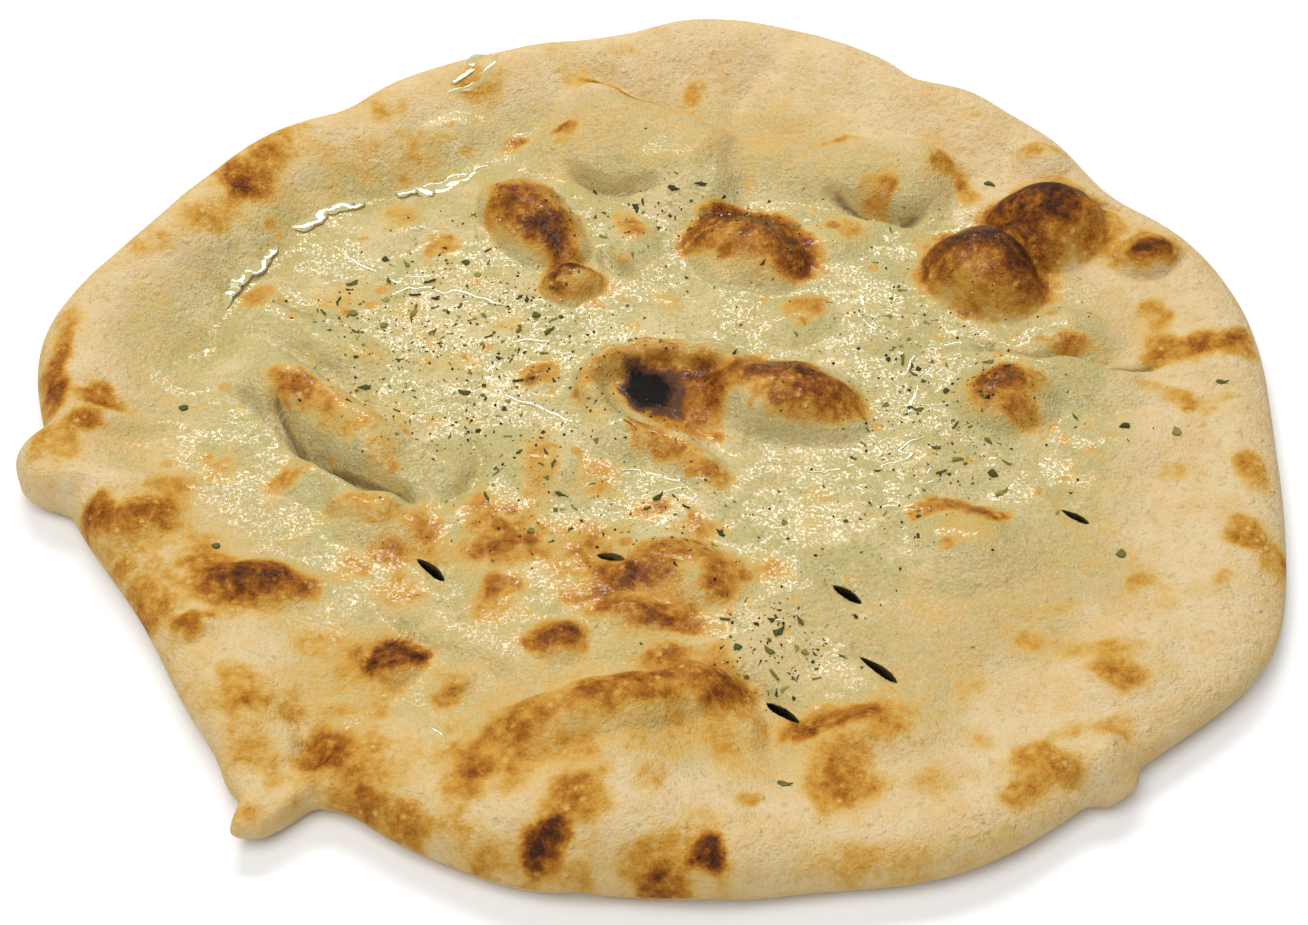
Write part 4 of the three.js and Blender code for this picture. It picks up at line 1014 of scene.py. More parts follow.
@dataclass
class Bread:
    """The bread itself, on a fine grid laid over the same form as the solid."""

    form: BreadForm
    baking: Baking
    cells: int = 292
    ripple: float = 0.13
    swell: float = 0.12
    upright: float = 0.1
    under_turns: tuple[float, ...] = (30.0, 60.0, 90.0)
    under_rings: tuple[float, ...] = (0.82, 0.6, 0.38, 0.16)
    damp: dict[str, float] = field(default_factory=lambda: {"left channel": 0.6, "pocket rim": 0.55})
    # Creases that hold oil and are also painted dark for the shade that falls in them.
    oily_shaded_creases: dict[str, float] = field(default_factory=lambda: {
        "roll foot": 1.0, "back fold foot": 0.8, "back fold right foot": 0.95, "right crease": 0.9,
        "right edge crease": 0.9, "small left crease": 0.8, "blister crease": 0.8, "wrinkle": 0.6,
    })

    def _grid(self) -> tuple[Array, Array, Array]:
        """Lay the unit square over the bread: its rings become rings of the outline."""
        line = np.linspace(-1.0, 1.0, self.cells + 1)
        u, v = np.meshgrid(line, line, indexing="ij")
        t = np.maximum(np.abs(u), np.abs(v))
        wide = np.abs(u) >= np.abs(v)
        safe_u, safe_v = np.where(np.abs(u) < 1e-12, 1.0, u), np.where(np.abs(v) < 1e-12, 1.0, v)
        across = (v / safe_u) * 45.0 + np.where(u < 0, 180.0, 0.0)
        along = 90.0 - (u / safe_v) * 45.0 + np.where(v < 0, 180.0, 0.0)
        deg = np.where(t > 0, np.where(wide, across, along), 0.0) % 360.0
        radius, band, turn = self.form.radius(deg), self.form.edge_band, self.form.edge_round
        outer = radius - turn * (1.0 - np.sin(np.radians(90.0 * (t - band) / (1.0 - band))))
        return deg, np.where(t <= band, t / band * (radius - turn), outer), radius

    def _shell(self) -> tuple[Array, list[list[int]]]:
        """Make the closed skin: top grid, rounded underside and flat base."""
        n = self.cells
        deg, r, radius = self._grid()
        x, y, inside = r * np.cos(np.radians(deg)), r * np.sin(np.radians(deg)), np.maximum(radius - r, 0.0)
        z = self.form.crust(x, y, inside, deg) + self.form.lift(deg, inside)
        wet = self.baking.oil(x, y) * smooth(inside / 10.0)
        z = z + self.ripple * wet * patchy(x, y, 2.3, 71, 2)
        z = z + self.swell * patchy(x, y, 6.0, 73, 3) * smooth(inside / 6.0)
        points = [np.stack([x.ravel(), y.ravel(), z.ravel()], 1)]
        index = np.arange((n + 1) ** 2).reshape(n + 1, n + 1)
        top = np.stack([index[:-1, :-1], index[1:, :-1], index[1:, 1:], index[:-1, 1:]], -1).reshape(-1, 4)
        loop = np.concatenate([index[:-1, 0], index[-1, :-1], index[:0:-1, -1], index[0, :0:-1]])
        faces, ring, count = top.tolist(), loop, (n + 1) ** 2
        loop_deg, loop_r = deg.ravel()[loop], r.ravel()[loop]
        c, s = np.cos(np.radians(loop_deg)), np.sin(np.radians(loop_deg))
        curled = self.form.lift(loop_deg, np.zeros_like(loop_r))
        steps = [(loop_r - self.form.under_round * (1 - math.cos(math.radians(a))),
                  self.form.edge_mid * (1 - math.sin(math.radians(a))) + curled * 1.6 * (a < 90.0))
                 for a in self.under_turns]
        flat = loop_r - self.form.under_round
        steps += [(flat * share, np.zeros_like(loop_r)) for share in self.under_rings]
        for rr, zz in steps:
            points.append(np.stack([rr * c, rr * s, np.broadcast_to(zz, rr.shape)], 1))
            below = count + np.arange(len(loop))
            faces += np.stack([ring, below, np.roll(below, -1), np.roll(ring, -1)], 1).tolist()
            ring, count = below, count + len(loop)
        points.append(np.zeros((1, 3)))
        faces += np.stack([ring, np.full(len(loop), count), np.roll(ring, -1)], 1).tolist()
        return np.concatenate(points), faces

    def _blades(self) -> bpy.types.Object:
        """Make the upright blades that cut the slits."""
        sides = ((0, 0), (0.1, -0.2), (0.28, -0.36), (0.5, -0.4), (0.72, -0.38), (0.9, -0.22), (1, 0),
                 (0.92, 0.2), (0.74, 0.38), (0.5, 0.46), (0.3, 0.36), (0.1, 0.2))
        points, faces = [], []
        for slit in SLITS:
            (ax, ay), (bx, by) = slit.start, slit.end
            dx, dy = bx - ax, by - ay
            long = math.hypot(dx, dy)
            ring = [(ax + dx * t - dy / long * q * slit.gape, ay + dy * t + dx / long * q * slit.gape)
                    for t, q in sides]
            base, n = len(points), len(ring)
            points += [(x, y, -5.0) for x, y in ring] + [(x, y, 40.0) for x, y in ring]
            faces += [[base + k for k in reversed(range(n))], [base + n + k for k in range(n)]]
            faces += [[base + k, base + (k + 1) % n, base + n + (k + 1) % n, base + n + k] for k in range(n)]
        return add_object("slit_blades", mesh_from("slit_blades", self.form.metres(np.array(points)), faces))

    @staticmethod
    def _read(things: Any, name: str) -> Array:
        """Read a vector of every vertex or face."""
        flat = np.empty(len(things) * 3)
        things.foreach_get(name, flat)
        return flat.reshape(-1, 3)

    def _paint(self, mesh: bpy.types.Mesh) -> None:
        """Write the colour fields on the mesh's points."""
        x, y, z = self._read(mesh.vertices, "co").T / MM + np.array([*self.form.middle(), 0.0])[:, None]
        deg, inside = self.form.place(x, y)
        under = (z < self.form.edge_mid - 0.4) & (z < self.form.crust(x, y, np.maximum(inside, 0), deg) - 1.5)
        spots = np.clip(patchy(x, y, 16.0, 61, 4) + 0.1, 0.0, 1.0)
        browned = np.clip(0.16 + 0.7 * spots, 0.0, 0.8) * smooth((inside + 2) / 9)
        fields = {
            "bake": np.where(under, browned, self.baking.bake(x, y)),
            "char": np.where(under, 0.0, self.baking.char(x, y)),
            "oil": np.where(under, 0.0, self.baking.oil(x, y)),
            "flour": np.where(under, 0.8, self.baking.flour(x, y)),
            # Oil in the furrows, and painted shade in the deep creases.
            "oil_and_crease_shade": np.where(under, 0.0, self.oil_and_crease_shade(x, y)),
            "herbs": np.where(under, 0.0, self.baking.herbs(x, y)),
        }
        for name, values in fields.items():
            layer = mesh.attributes.new(name, "FLOAT", "POINT")
            layer.data.foreach_set("value", np.asarray(values, dtype=np.float32))

    def oil_and_crease_shade(self, x: Array, y: Array) -> Array:
        """Return how much oil has gathered in the furrows; in the deep creases the value also sets painted
        shade.
        """
        named = {c.name: c.share(x, y) for c in CREASES}
        wide = sum(amount * named[name] for name, amount in self.damp.items())
        deep = sum(amount * named[name] ** 1.6 for name, amount in self.oily_shaded_creases.items())
        return np.clip(wide + deep, 0.0, 1.0)

    def build(self) -> bpy.types.Object:
        """Build, cut, paint and dress the bread."""
        points, faces = self._shell()
        bread = add_object("bread_crust", mesh_from("bread_crust", self.form.metres(points), faces))
        blades = self._blades()
        cut = bread.modifiers.new("slits", "BOOLEAN")
        cut.operation, cut.object, cut.solver = "DIFFERENCE", blades, "EXACT"
        mesh = applied(bread)
        bread.modifiers.clear()
        bread.data = mesh
        bpy.data.objects.remove(blades)
        self._paint(mesh)
        mesh.materials.clear()
        mesh.materials.append(CrustFinish().make())
        mesh.materials.append(CrumbShadeFinish().make())
        mx, my = self.form.middle()
        x, y, _ = self._read(mesh.polygons, "center").T / MM
        near = np.full(len(x), False)
        for slit in SLITS:
            near |= path_reach((slit.start, slit.end), x + mx, y + my)[0] < slit.gape
        wall = near & (np.abs(self._read(mesh.polygons, "normal")[:, 2]) < self.upright)
        mesh.polygons.foreach_set("material_index", wall.astype(np.int32))
        mesh.polygons.foreach_set("use_smooth", ~wall)
        mesh.update()
        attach(bread, "root")
        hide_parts("pizza_bread")
        return bread


# --- what lies on the crust ---


@dataclass(frozen=True)
class Patch:
    """A patch of the crust that is given a number of large flakes."""

    name: str
    at: Vec2
    half: Vec2
    count: int


@dataclass(frozen=True)
class Flake:
    """A large flake: its place in plan, its turn in degrees and its length."""

    at: Vec2
    turn: float
    long: float


PATCHES = (
    Patch("left of the middle", (-55, 20), (30, 26), 22),
    Patch("behind the left blister", (-70, 38), (16, 14), 5),
    Patch("below the back fold", (5, 62), (34, 8), 6),
    Patch("right of the middle", (70, -12), (20, 22), 11),
    Patch("between the slits", (28, -80), (12, 10), 8),
    Patch("front of the middle", (-10, -42), (34, 8), 6),
)
NAMED_FLAKES = (
    Flake((-47, -1), 35, 4.6),
    Flake((-117, -6), -30, 4.2),
    Flake((117, -14), 60, 4.4),
    Flake((129, -16), 50, 4.8),
    Flake((143, 0), -25, 3.8),
    Flake((111, -52), -10, 4.4),
    Flake((85, -33), 10, 4.6),
    Flake((-103, -51), -10, 3.6),
    Flake((29, -117), 60, 4.2),
    Flake((92, 74), -60, 4.4),
)


@dataclass(frozen=True)
class LargeFlakes:
    """Finds the same places for the large flakes as the solid has."""

    form: BreadForm
    shortest: float = 3.0
    longest: float = 4.8
    apart: float = 5.5
    off_slit: float = 9.0
    steepest: float = 1.6
    tries: int = 90
    seed: int = 41

    @staticmethod
    def draws(seed: int, count: int) -> list[float]:
        """Draw numbers between 0 and 1, the same ones each time for a seed."""
        mask, state, drawn = 0xFFFFFFFF, seed & 0xFFFFFFFF, []
        for _ in range(count):
            state = (state + 0x6D2B79F5) & mask
            t = ((state ^ (state >> 15)) * (state | 1)) & mask
            t ^= (t + (((t ^ (t >> 7)) * (t | 61)) & mask)) & mask
            drawn.append((t ^ (t >> 14)) / 4294967296.0)
        return drawn

    def places(self) -> list[Flake]:
        """Return every large flake."""
        found = list(NAMED_FLAKES)
        middles = [((s.start[0] + s.end[0]) / 2, (s.start[1] + s.end[1]) / 2) for s in SLITS]
        for number, patch in enumerate(PATCHES):
            rows = np.array(self.draws(self.seed + number, 4 * self.tries)).reshape(-1, 4)
            x = patch.at[0] + (2 * rows[:, 0] - 1) * patch.half[0]
            y = patch.at[1] + (2 * rows[:, 1] - 1) * patch.half[1]
            crust = self.form.crust_at
            tilt = np.abs(crust(x + 1, y) - crust(x - 1, y)) + np.abs(crust(x, y + 1) - crust(x, y - 1))
            laid = 0
            for k in range(self.tries):
                here = (float(x[k]), float(y[k]))
                clear = all(math.dist(f.at, here) > self.apart for f in found)
                clear = clear and all(math.dist(m, here) > self.off_slit for m in middles)
                if laid < patch.count and clear and tilt[k] < self.steepest:
                    long = self.shortest + (self.longest - self.shortest) * rows[k, 3] ** 1.5
                    found.append(Flake(here, 360.0 * rows[k, 2], float(long)))
                    laid += 1
        return found


class Topping(Enum):
    """The kinds of dry topping."""

    LEAF = "leaf"
    SPECK = "speck"
    GRAIN = "grain"


@dataclass(frozen=True)
class ToppingFinish:
    """A dry topping's colours, from its darkest bits to its lightest."""

    name: str
    stops: tuple[tuple[float, Colour], ...]
    rough: float = 0.5

    def make(self) -> bpy.types.Material:
        """Build the material."""
        material, t = new_material(self.name)
        tint, vein = t.attribute("tint"), t.noise(0.5, 3.0, 0.6)
        t.surface({
            "Base Color": t.ramp(tint + (vein - 0.5) * 0.35, self.stops),
            "Roughness": (self.rough + (vein - 0.5) * 0.3).least(0.9),
            "Normal": t.bump(vein, 0.15),
            "Specular IOR Level": 0.15,
        })
        return material


@dataclass(frozen=True)
class BitShape:
    """A small closed bit, one unit long: an outline with a ridge, thick or thin, ragged and curled."""

    name: str
    slim: float
    thick: float
    curl: float
    seed: int
    corners: int = 9

    def build(self) -> bpy.types.Object:
        """Build the bit."""
        rng = np.random.default_rng(self.seed)
        a = np.linspace(0.0, 2 * np.pi, self.corners, endpoint=False) + rng.uniform(-0.24, 0.24, self.corners)
        r = 0.5 * rng.uniform(0.42, 1.0, self.corners)
        x, y = r * np.cos(a), r * np.sin(a) * self.slim * (1.1 - 0.5 * np.square(np.cos(a)))
        bend = self.curl * (np.square(x * 2) - 0.3)
        low = np.stack([x, y, bend - self.thick / 2], 1)
        high = np.stack([x * 0.9, y * 0.86, bend + self.thick / 2], 1)
        caps = np.array([[0.04, 0.02, -self.thick * 0.6], [-0.05, 0.0, self.thick * 0.8]])
        n = self.corners
        faces = []
        for k in range(n):
            m = (k + 1) % n
            faces += [[k, m, n + m, n + k], [m, k, 2 * n], [n + k, n + m, 2 * n + 1]]
        return add_object(self.name, mesh_from(self.name, np.concatenate([low, high, caps]), faces))


@dataclass(frozen=True)
class Scattering:
    """A topping strewn over the crust by a Geometry Nodes tree.

    The tree's inputs are the density per square metre, the smallest and largest length, how far a bit may
    tip, and the seed.
    """

    kind: Topping
    finish: ToppingFinish
    bits: tuple[BitShape, ...]
    density: float
    smallest: float
    largest: float
    tip: float
    seed: int

    def _interface(self, group: bpy.types.NodeTree) -> dict[str, float]:
        """Name the tree's inputs and output, and return the inputs' identifiers with their values."""
        face, values = group.interface, {}
        face.new_socket("Geometry", in_out="INPUT", socket_type="NodeSocketGeometry")
        for name, kind, value in (
            ("Density", "Float", self.density), ("Smallest", "Float", self.smallest * MM),
            ("Largest", "Float", self.largest * MM), ("Tip", "Float", self.tip), ("Seed", "Int", self.seed),
        ):
            socket = face.new_socket(name, in_out="INPUT", socket_type=f"NodeSocket{kind}")
            values[socket.identifier] = value
        face.new_socket("Geometry", in_out="OUTPUT", socket_type="NodeSocketGeometry")
        return values

    def _spread(self, t: Tree, given: Added) -> tuple[Shade, Shade]:
        """Spread points over the crust's top, thick where the herbs lie.

        Returns:
            The points, and their turn.
        """
        facing = t.node("ShaderNodeSeparateXYZ", None, {0: t.node("GeometryNodeInputNormal").out()}).out("Z")
        share, seed, tip = t.read("herbs"), given.out("Seed"), given.out("Tip")
        thick = share * share * facing.between(0.45, 0.8) * given.out("Density")
        spread = t.node("GeometryNodeDistributePointsOnFaces", {"distribute_method": "RANDOM"},
                        {"Mesh": given.out("Geometry"), "Density": thick, "Seed": seed})
        low = t.node("ShaderNodeCombineXYZ", None, {0: 0.0 - tip, 1: 0.0 - tip, 2: 0.0}).out()
        high = t.node("ShaderNodeCombineXYZ", None, {0: tip, 1: tip, 2: 2.0 * math.pi}).out()
        spin = t.draw(low, high, seed + 1.0, "FLOAT_VECTOR")
        turned = t.node("FunctionNodeRotateRotation", {"rotation_space": "LOCAL"},
                        {"Rotation": spread.out("Rotation"), "Rotate By": spin})
        return spread.out("Points"), turned.out()

    @staticmethod
    def _length(t: Tree, given: Added) -> Shade:
        """Draw each bit's length, small ones more often than large ones."""
        drawn, smallest = t.draw(0.0, 1.0, given.out("Seed") + 2.0), given.out("Smallest")
        return smallest + (given.out("Largest") - smallest) * drawn**2.0

    def _placed(
        self, t: Tree, seed: Shade, choice: Shade, points: Shade, turned: Shade, long: Shade
    ) -> Shade:
        """Put a bit on each point and give it its tint."""
        set_on = t.node("GeometryNodeInstanceOnPoints", None, {
            "Points": points, "Instance": choice, "Pick Instance": True, "Rotation": turned, "Scale": long,
            "Instance Index": t.draw(0, len(self.bits) - 1, seed + 3.0, "INT"),
        })
        tint = t.draw(0.0, 1.0, seed + 4.0)
        return t.node("GeometryNodeStoreNamedAttribute", {"data_type": "FLOAT", "domain": "INSTANCE"},
                      {"Geometry": set_on.out(), "Name": "tint", "Value": tint}).out()

    def build(self, bread: bpy.types.Object, laid: bpy.types.Object | None = None) -> bpy.types.Object:
        """Strew the topping.

        Args:
            bread: The crust that it lies on.
            laid: Points that each carry one more bit, with its turn and length.

        Returns:
            The topping as one piece.
        """
        bits = [shape.build() for shape in self.bits]
        group = bpy.data.node_groups.new(f"strewn_{self.kind.value}", "GeometryNodeTree")
        values = self._interface(group)
        t = Tree(group)
        given = t.node("NodeGroupInput")
        seed, info = given.out("Seed"), "GeometryNodeObjectInfo"
        points, turned = self._spread(t, given)
        picks = [t.node(info, None, {"Object": bit, "As Instance": True}) for bit in bits]
        choice = t.join([pick.out("Geometry") for pick in picks])
        parts = [self._placed(t, seed, choice, points, turned, self._length(t, given))]
        if laid is not None:
            own = t.node(info, None, {"Object": laid}).out("Geometry")
            dots = t.node("GeometryNodeMeshToPoints", None, {"Mesh": own}).out()
            turn, long = t.read("turn", "FLOAT_VECTOR"), t.read("long")
            parts.append(self._placed(t, seed, choice, dots, turn, long))
        whole = t.node("GeometryNodeRealizeInstances", None, {"Geometry": t.join(parts)}).out()
        dressed = t.node("GeometryNodeSetMaterial", None, {"Geometry": whole, "Material": self.finish.make()})
        t.node("NodeGroupOutput", None, {0: dressed.out()})
        piece = add_object(f"{self.kind.value}_topping", bread.data.copy())
        modifier = piece.modifiers.new("strewn", "NODES")
        modifier.node_group = group
        for identifier, value in values.items():
            modifier[identifier] = value
        mesh = applied(piece)
        piece.modifiers.clear()
        piece.data = mesh
        for thing in (*bits, *([laid] if laid else [])):
            bpy.data.objects.remove(thing)
        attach(piece, "root")
        return piece


# --- oil that stands on the crust ---


@dataclass(frozen=True)
class Trickle:
    """A run or pool of oil along a path."""

    path: tuple[Vec2, ...]
    half: float
    high: float
    pooled: bool = False

    def line(self, apart: float) -> Array:
        """Return the path smoothed and cut into even steps."""
        p = np.array(self.path, dtype=float)
        for _ in range(3):
            cut = np.empty((2 * (len(p) - 1), 2))
            cut[0::2], cut[1::2] = 0.75 * p[:-1] + 0.25 * p[1:], 0.25 * p[:-1] + 0.75 * p[1:]
            p = np.concatenate([p[:1], cut, p[-1:]])
        run = np.concatenate([[0.0], np.cumsum(np.hypot(*np.diff(p, axis=0).T))])
        at = np.linspace(0.0, run[-1], max(6, int(run[-1] / apart)))
        return np.stack([np.interp(at, run, p[:, 0]), np.interp(at, run, p[:, 1])], 1)


TRICKLES = (
    # the hook at the back left and its film
    Trickle(((-58, 104.5), (-53, 106), (-48.5, 108.5), (-45.5, 112.5), (-44.5, 118), (-45, 124)), 1.3, 0.75),
    Trickle(((-57, 108), (-51, 112), (-47, 120)), 3.0, 0.3, True),
    # along the left channel
    Trickle(((-108, 48), (-103, 52.5), (-99.5, 56)), 0.9, 0.5),
    Trickle(((-92, 63), (-87, 66), (-81, 68.2), (-75, 69)), 1.1, 0.55),
    Trickle(((-97, 58), (-91, 63), (-84, 67.6), (-77, 70)), 4.4, 0.55, True),
    Trickle(((-113, 30), (-109, 38), (-104, 45), (-100, 52)), 3.2, 0.4, True),
    Trickle(((-65, 74), (-60, 77), (-56, 80), (-50, 82), (-45, 84)), 1.1, 0.55),
    Trickle(((-70, 73), (-62, 75.4), (-54, 79), (-48, 81.4)), 3.8, 0.45, True),
    # left of the middle
    Trickle(((-83, 49), (-78, 45.5), (-74, 44), (-70, 39.5), (-65, 37)), 1.1, 0.6),
    Trickle(((-68, 33), (-63, 35.5), (-57, 35), (-50, 33.4), (-44, 31.5), (-37, 29)), 1.3, 0.7),
    Trickle(((-66, 40), (-61, 38.5), (-57, 39.5)), 0.9, 0.55),
    Trickle(((-40, 16), (-36, 15.2), (-31, 17.2), (-26, 17)), 1.0, 0.55),
    Trickle(((-37, -1), (-32, -4), (-28, -4.6), (-22, -9), (-18, -12.5)), 1.3, 0.6),
    # in front of the burst blister
    Trickle(((-8, -25), (-1, -26), (6, -29.5), (14, -30), (24, -32.4)), 1.0, 0.55),
    Trickle(((2, -33), (9, -31), (15, -33.5)), 0.8, 0.5),
    # right of the middle
    Trickle(((74.5, 15.4), (79, 16), (86, 15.4)), 1.2, 0.65),
    Trickle(((67.5, 12.5), (65.5, 8.5), (64.2, 4.5)), 0.9, 0.55),
    Trickle(((72.5, 9.5), (68.5, 5), (67.5, 1), (64.5, -4), (63.8, -8), (61, -11.5)), 1.1, 0.65),
    Trickle(((69.5, -14.4), (64, -17.5), (60, -20.5), (64.8, -21.8), (59.5, -23.5), (55, -26)), 0.9, 0.55),
    Trickle(((51.5, -23.6), (47.5, -24.6), (45.5, -27), (38, -27)), 0.9, 0.55),
    Trickle(((50, -31.5), (51.8, -35), (54.4, -38.4), (59, -38.8), (64, -37.4)), 1.3, 0.75),
    Trickle(((73.2, -27.3), (71.6, -25.6), (68.6, -25.6), (67.2, -27.4), (69, -29.2), (72, -29),
             (73.2, -27.3)), 0.6, 0.45),
    Trickle(((75, -25.6), (72, -29.6), (66, -32)), 0.8, 0.5),
    Trickle(((52, 34), (56, 30), (54, 24), (58, 20)), 1.0, 0.5),
    Trickle(((95, -58), (99, -56), (104, -58.5)), 0.7, 0.45),
    # at the front
    Trickle(((-49, -101), (-46.6, -103), (-46, -107)), 0.9, 0.6),
    Trickle(((22, -73), (27, -71.5), (33, -73), (36, -77)), 0.7, 0.45),
)


@dataclass(frozen=True)
class OilFinish:
    """Clear yellow oil."""

    tint: Colour = (0.62, 0.545, 0.24)
    pale: Colour = (0.68, 0.62, 0.30)

    def make(self) -> bpy.types.Material:
        """Build the material."""
        material, t = new_material("oil")
        swirl = t.noise(2.0, 2.0)
        t.surface({
            "Base Color": t.mix(swirl, self.tint, self.pale),
            "Roughness": (swirl - 0.5) * 0.05 + 0.06,
            "Alpha": 0.7,
            "Specular IOR Level": 0.8,
            "Coat Weight": 1.0,
            "Coat Roughness": 0.04,
        })
        return material


@dataclass(frozen=True)
class OilPools:
    """Runs of oil that stand proud of the crust, each with a rounded edge."""

    form: BreadForm
    apart: float = 0.8
    across: int = 9
    flat: float = 0.42
    wider: float = 0.85
    squirm: float = 0.8
    sunk: float = 0.08
    wave: float = 0.16

    def _strip(self, trickle: Trickle, start: int) -> tuple[Array, list[list[int]]]:
        """Make one closed run of oil, its corners numbered from a start."""
        line = trickle.line(self.apart)
        x, y = line[:, 0], line[:, 1]
        line = line + self.squirm * np.stack([patchy(x, y, 3.4, 87, 2), patchy(x, y, 3.4, 89, 2)], 1)
        n, m = len(line), self.across
        along = np.gradient(line, axis=0)
        along /= np.maximum(np.hypot(along[:, 0], along[:, 1]), 1e-9)[:, None]
        t = np.linspace(0.0, 1.0, n)
        uneven = 0.8 + 0.35 * patchy(line[:, 0], line[:, 1], 3.5, 83, 2)
        half = self.wider * trickle.half * uneven * np.clip(1.0 - np.abs(2 * t - 1) ** 5, 0.04, None) ** 0.5
        q = np.linspace(-1.0, 1.0, m)
        x = line[:, 0][:, None] - along[:, 1][:, None] * half[:, None] * q
        y = line[:, 1][:, None] + along[:, 0][:, None] * half[:, None] * q
        rise = trickle.high * (half / trickle.half)[:, None] * (1.0 - q**2) ** 0.8
        if trickle.pooled:
            floor = self.form.crust_at(line[:, 0], line[:, 1])[:, None]
            z = floor + rise + self.wave * patchy(x, y, 2.6, 91, 2) - self.sunk
        else:
            z = self.form.crust_at(x, y) + self.flat * rise - self.sunk
        index = start + np.arange(n * m).reshape(n, m)
        faces = []
        for k in range(n - 1):
            for j in range(m):
                i = (j + 1) % m
                faces.append([index[k, j], index[k + 1, j], index[k + 1, i], index[k, i]])
        faces += [index[0].tolist(), index[-1][::-1].tolist()]
        return np.stack([x.ravel(), y.ravel(), z.ravel()], 1), [[int(v) for v in f] for f in faces]

    def build(self) -> bpy.types.Object:
        """Build every run as one piece."""
        points, faces, count = [], [], 0
        for trickle in TRICKLES:
            more, sides = self._strip(trickle, count)
            points.append(more)
            faces += sides
            count += len(more)
        mesh = mesh_from("oil_pools", self.form.metres(np.concatenate(points)), faces)
        mesh.polygons.foreach_set("use_smooth", [True] * len(mesh.polygons))
        mesh.materials.append(OilFinish().make())
        piece = add_object("oil_pools", mesh)
        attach(piece, "root")
        return piece


@dataclass(frozen=True)
class Toppings:
    """Herb leaves, dark specks of spice and pale grains, and the oil."""

    form: BreadForm
    stand: float = 0.25
    stride: float = 0.7

    def _laid(self) -> bpy.types.Object:
        """Make a point for each large flake, turned to lie on the crust."""
        flakes = LargeFlakes(self.form).places()
        x, y = (np.array([f.at[k] for f in flakes]) for k in (0, 1))
        crust = self.form.crust_at
        step = self.stride
        slope_x = (crust(x + step, y) - crust(x - step, y)) / (2 * step)
        slope_y = (crust(x, y + step) - crust(x, y - step)) / (2 * step)
        points = self.form.metres(np.stack([x, y, crust(x, y) + self.stand], 1))
        mesh = mesh_from("laid_flakes", points, [])
        for name, kind in (("turn", "FLOAT_VECTOR"), ("long", "FLOAT")):
            mesh.attributes.new(name, kind, "POINT")
        turn, long = mesh.attributes["turn"], mesh.attributes["long"]
        for k, flake in enumerate(flakes):
            up = Vector((-slope_x[k], -slope_y[k], 1.0)).to_track_quat("Z", "X").to_matrix()
            spin = up @ Matrix.Rotation(math.radians(flake.turn), 3, "Z")
            turn.data[k].vector = tuple(spin.to_euler())
            long.data[k].value = flake.long * MM
        return add_object("laid_flakes", mesh)

    @staticmethod
    def _kinds() -> tuple[Scattering, ...]:
        """Describe the leaves, the specks and the grains."""
        leaf = ToppingFinish("herb_leaf", (
            (0.0, (0.026, 0.026, 0.007)), (0.35, (0.068, 0.07, 0.013)), (0.7, (0.145, 0.14, 0.024)),
            (1.0, (0.30, 0.25, 0.055)),
        ))
        speck = ToppingFinish("dark_speck", (
            (0.0, (0.012, 0.009, 0.006)), (0.5, (0.045, 0.032, 0.014)), (1.0, (0.16, 0.10, 0.035)),
        ))
        grain = ToppingFinish("pale_grain", (
            (0.0, (0.55, 0.42, 0.16)), (0.5, (0.68, 0.56, 0.27)), (1.0, (0.75, 0.66, 0.42)),
        ), 0.35)
        leaves = (
            BitShape("leaf_long", 0.46, 0.07, 0.14, 3, 11), BitShape("leaf_wide", 0.62, 0.07, -0.12, 5, 11),
            BitShape("leaf_thin", 0.3, 0.09, 0.2, 9), BitShape("leaf_torn", 0.6, 0.06, 0.18, 31, 8),
        )
        specks = BitShape("speck_flat", 0.7, 0.4, 0.0, 13, 6), BitShape("speck_round", 0.9, 0.6, 0.0, 17, 6)
        grains = BitShape("grain_flat", 0.75, 0.45, 0.0, 21, 6), BitShape("grain_round", 0.9, 0.6, 0.0, 23, 6)
        return (
            Scattering(Topping.LEAF, leaf, leaves, 100000.0, 0.8, 3.4, 0.45, 12),
            Scattering(Topping.SPECK, speck, specks, 150000.0, 0.4, 1.2, 0.6, 27),
            Scattering(Topping.GRAIN, grain, grains, 30000.0, 0.4, 1.3, 0.5, 33),
        )

    def build(self, bread: bpy.types.Object) -> list[bpy.types.Object]:
        """Strew every topping over the bread."""
        leaf, speck, grain = self._kinds()
        strewn = [leaf.build(bread, self._laid()), speck.build(bread), grain.build(bread)]
        return [*strewn, OilPools(self.form).build()]


# --- the studio ---


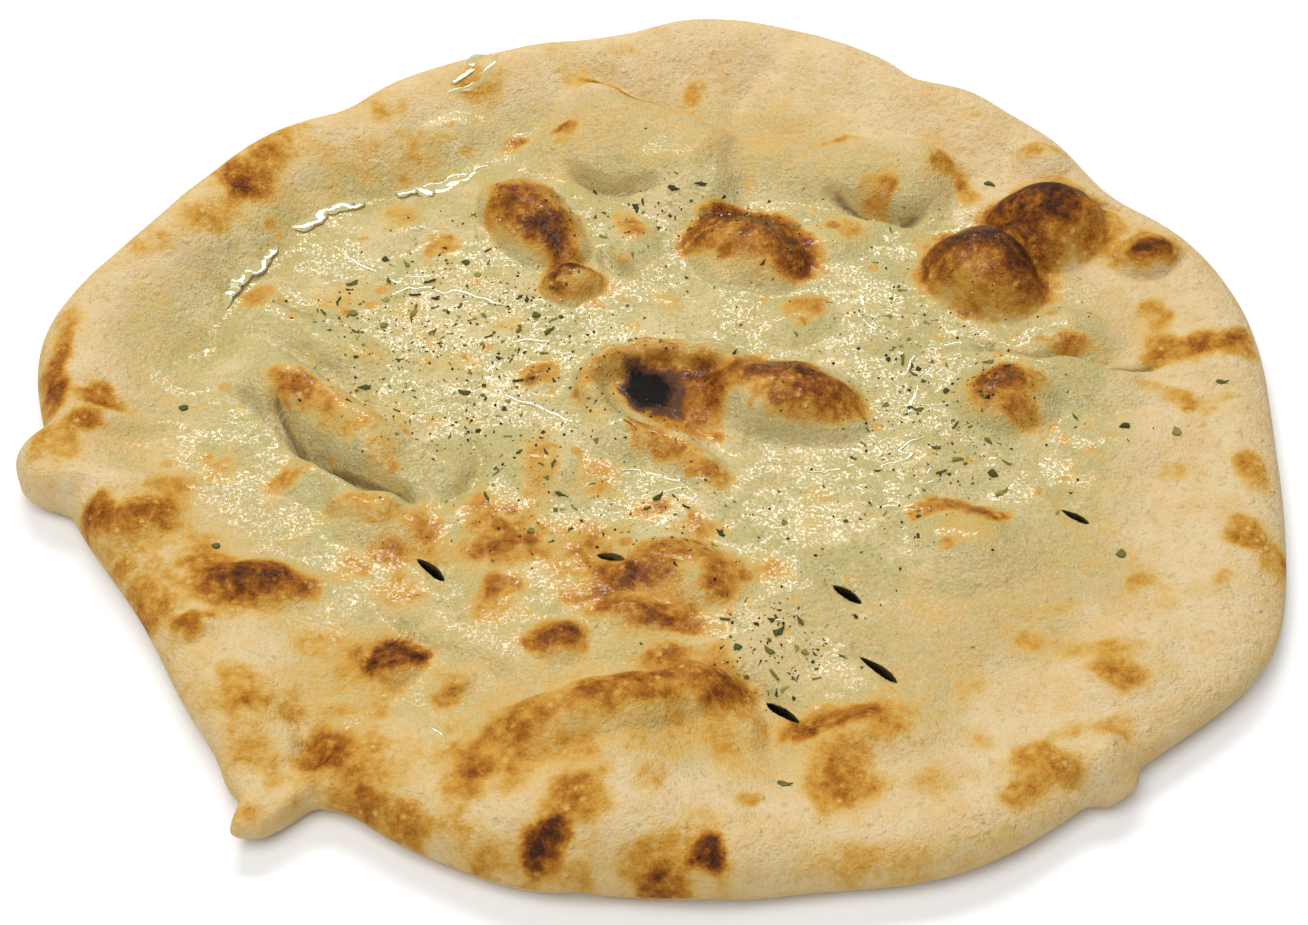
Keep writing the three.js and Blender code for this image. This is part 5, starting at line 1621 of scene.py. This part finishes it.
@dataclass(frozen=True)
class Studio:
    """A pale floor, soft light from behind, above and the front, and the camera."""

    lens: float = 62.0
    camera_at: tuple[float, float, float] = (0.00073, -0.3787, 0.4309)
    camera_to: tuple[float, float, float] = (0.00073, -0.0239, 0.008)
    floor_half: float = 3.0

    def floor(self) -> None:
        """Lay the floor."""
        material, t = new_material("floor")
        t.surface({"Base Color": (0.93, 0.93, 0.93, 1.0), "Roughness": 0.9})
        h = self.floor_half
        corners = np.array([(-h, -h, 0.0), (h, -h, 0.0), (h, h, 0.0), (-h, h, 0.0)])
        floor = add_object("floor", mesh_from("floor", corners, [[0, 1, 2, 3]]))
        floor.data.materials.append(material)

    @staticmethod
    def _aim(at: Sequence[float], to: Sequence[float]) -> Any:
        """Return the turn that faces from one place to another."""
        return (Vector(to) - Vector(at)).to_track_quat("-Z", "Y").to_euler()

    def lamp(self, name: str, at: tuple[float, float, float], size: Vec2, power: float) -> None:
        """Hang a soft lamp that faces the bread."""
        light = bpy.data.lights.new(name, "AREA")
        light.shape, light.energy = "RECTANGLE", power
        light.size, light.size_y = size
        lamp = bpy.data.objects.new(name, light)
        lamp.location = at
        lamp.rotation_euler = self._aim(at, (0.0, 0.0, 0.0))
        bpy.context.scene.collection.objects.link(lamp)

    def build(self) -> None:
        """Set up floor, lamps, world and camera."""
        self.floor()
        self.lamp("window", (-0.1, 0.78, 0.93), (0.8, 0.26), 8.4)
        self.lamp("ceiling", (-0.25, -0.3, 1.1), (0.9, 0.9), 8.2)
        world = bpy.data.worlds.new("soft_room")
        bpy.context.scene.world = world
        world.use_nodes = True
        t = Tree(world.node_tree)
        sky = t.node("ShaderNodeBackground", None, {"Color": (1.0, 1.0, 1.0, 1.0), "Strength": 0.38})
        t.node("ShaderNodeOutputWorld", None, {0: sky.out()})
        camera = bpy.data.cameras.new("camera")
        camera.lens, camera.sensor_width = self.lens, 36.0
        eye = bpy.data.objects.new("camera", camera)
        eye.location = self.camera_at
        eye.rotation_euler = self._aim(self.camera_at, self.camera_to)
        bpy.context.scene.collection.objects.link(eye)
        bpy.context.scene.camera = eye
        bpy.context.scene.view_settings.view_transform = "Standard"


def plain(box: Any) -> list[list[float]]:
    """Turn a box into plain lists of numbers."""
    return [[float(v) for v in corner] for corner in box]


def main() -> None:
    """Build the bread in order."""
    logging.basicConfig(level=logging.INFO, format="%(message)s")
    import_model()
    form = BreadForm()
    baking = Baking(form)
    bread = Bread(form, baking).build()
    LOG.info("%s: %d faces", bread.name, len(bread.data.polygons))
    for piece in Toppings(form).build(bread):
        LOG.info("%s: %d faces", piece.name, len(piece.data.polygons))
    Studio().build()


if __name__ == "__main__":
    main()
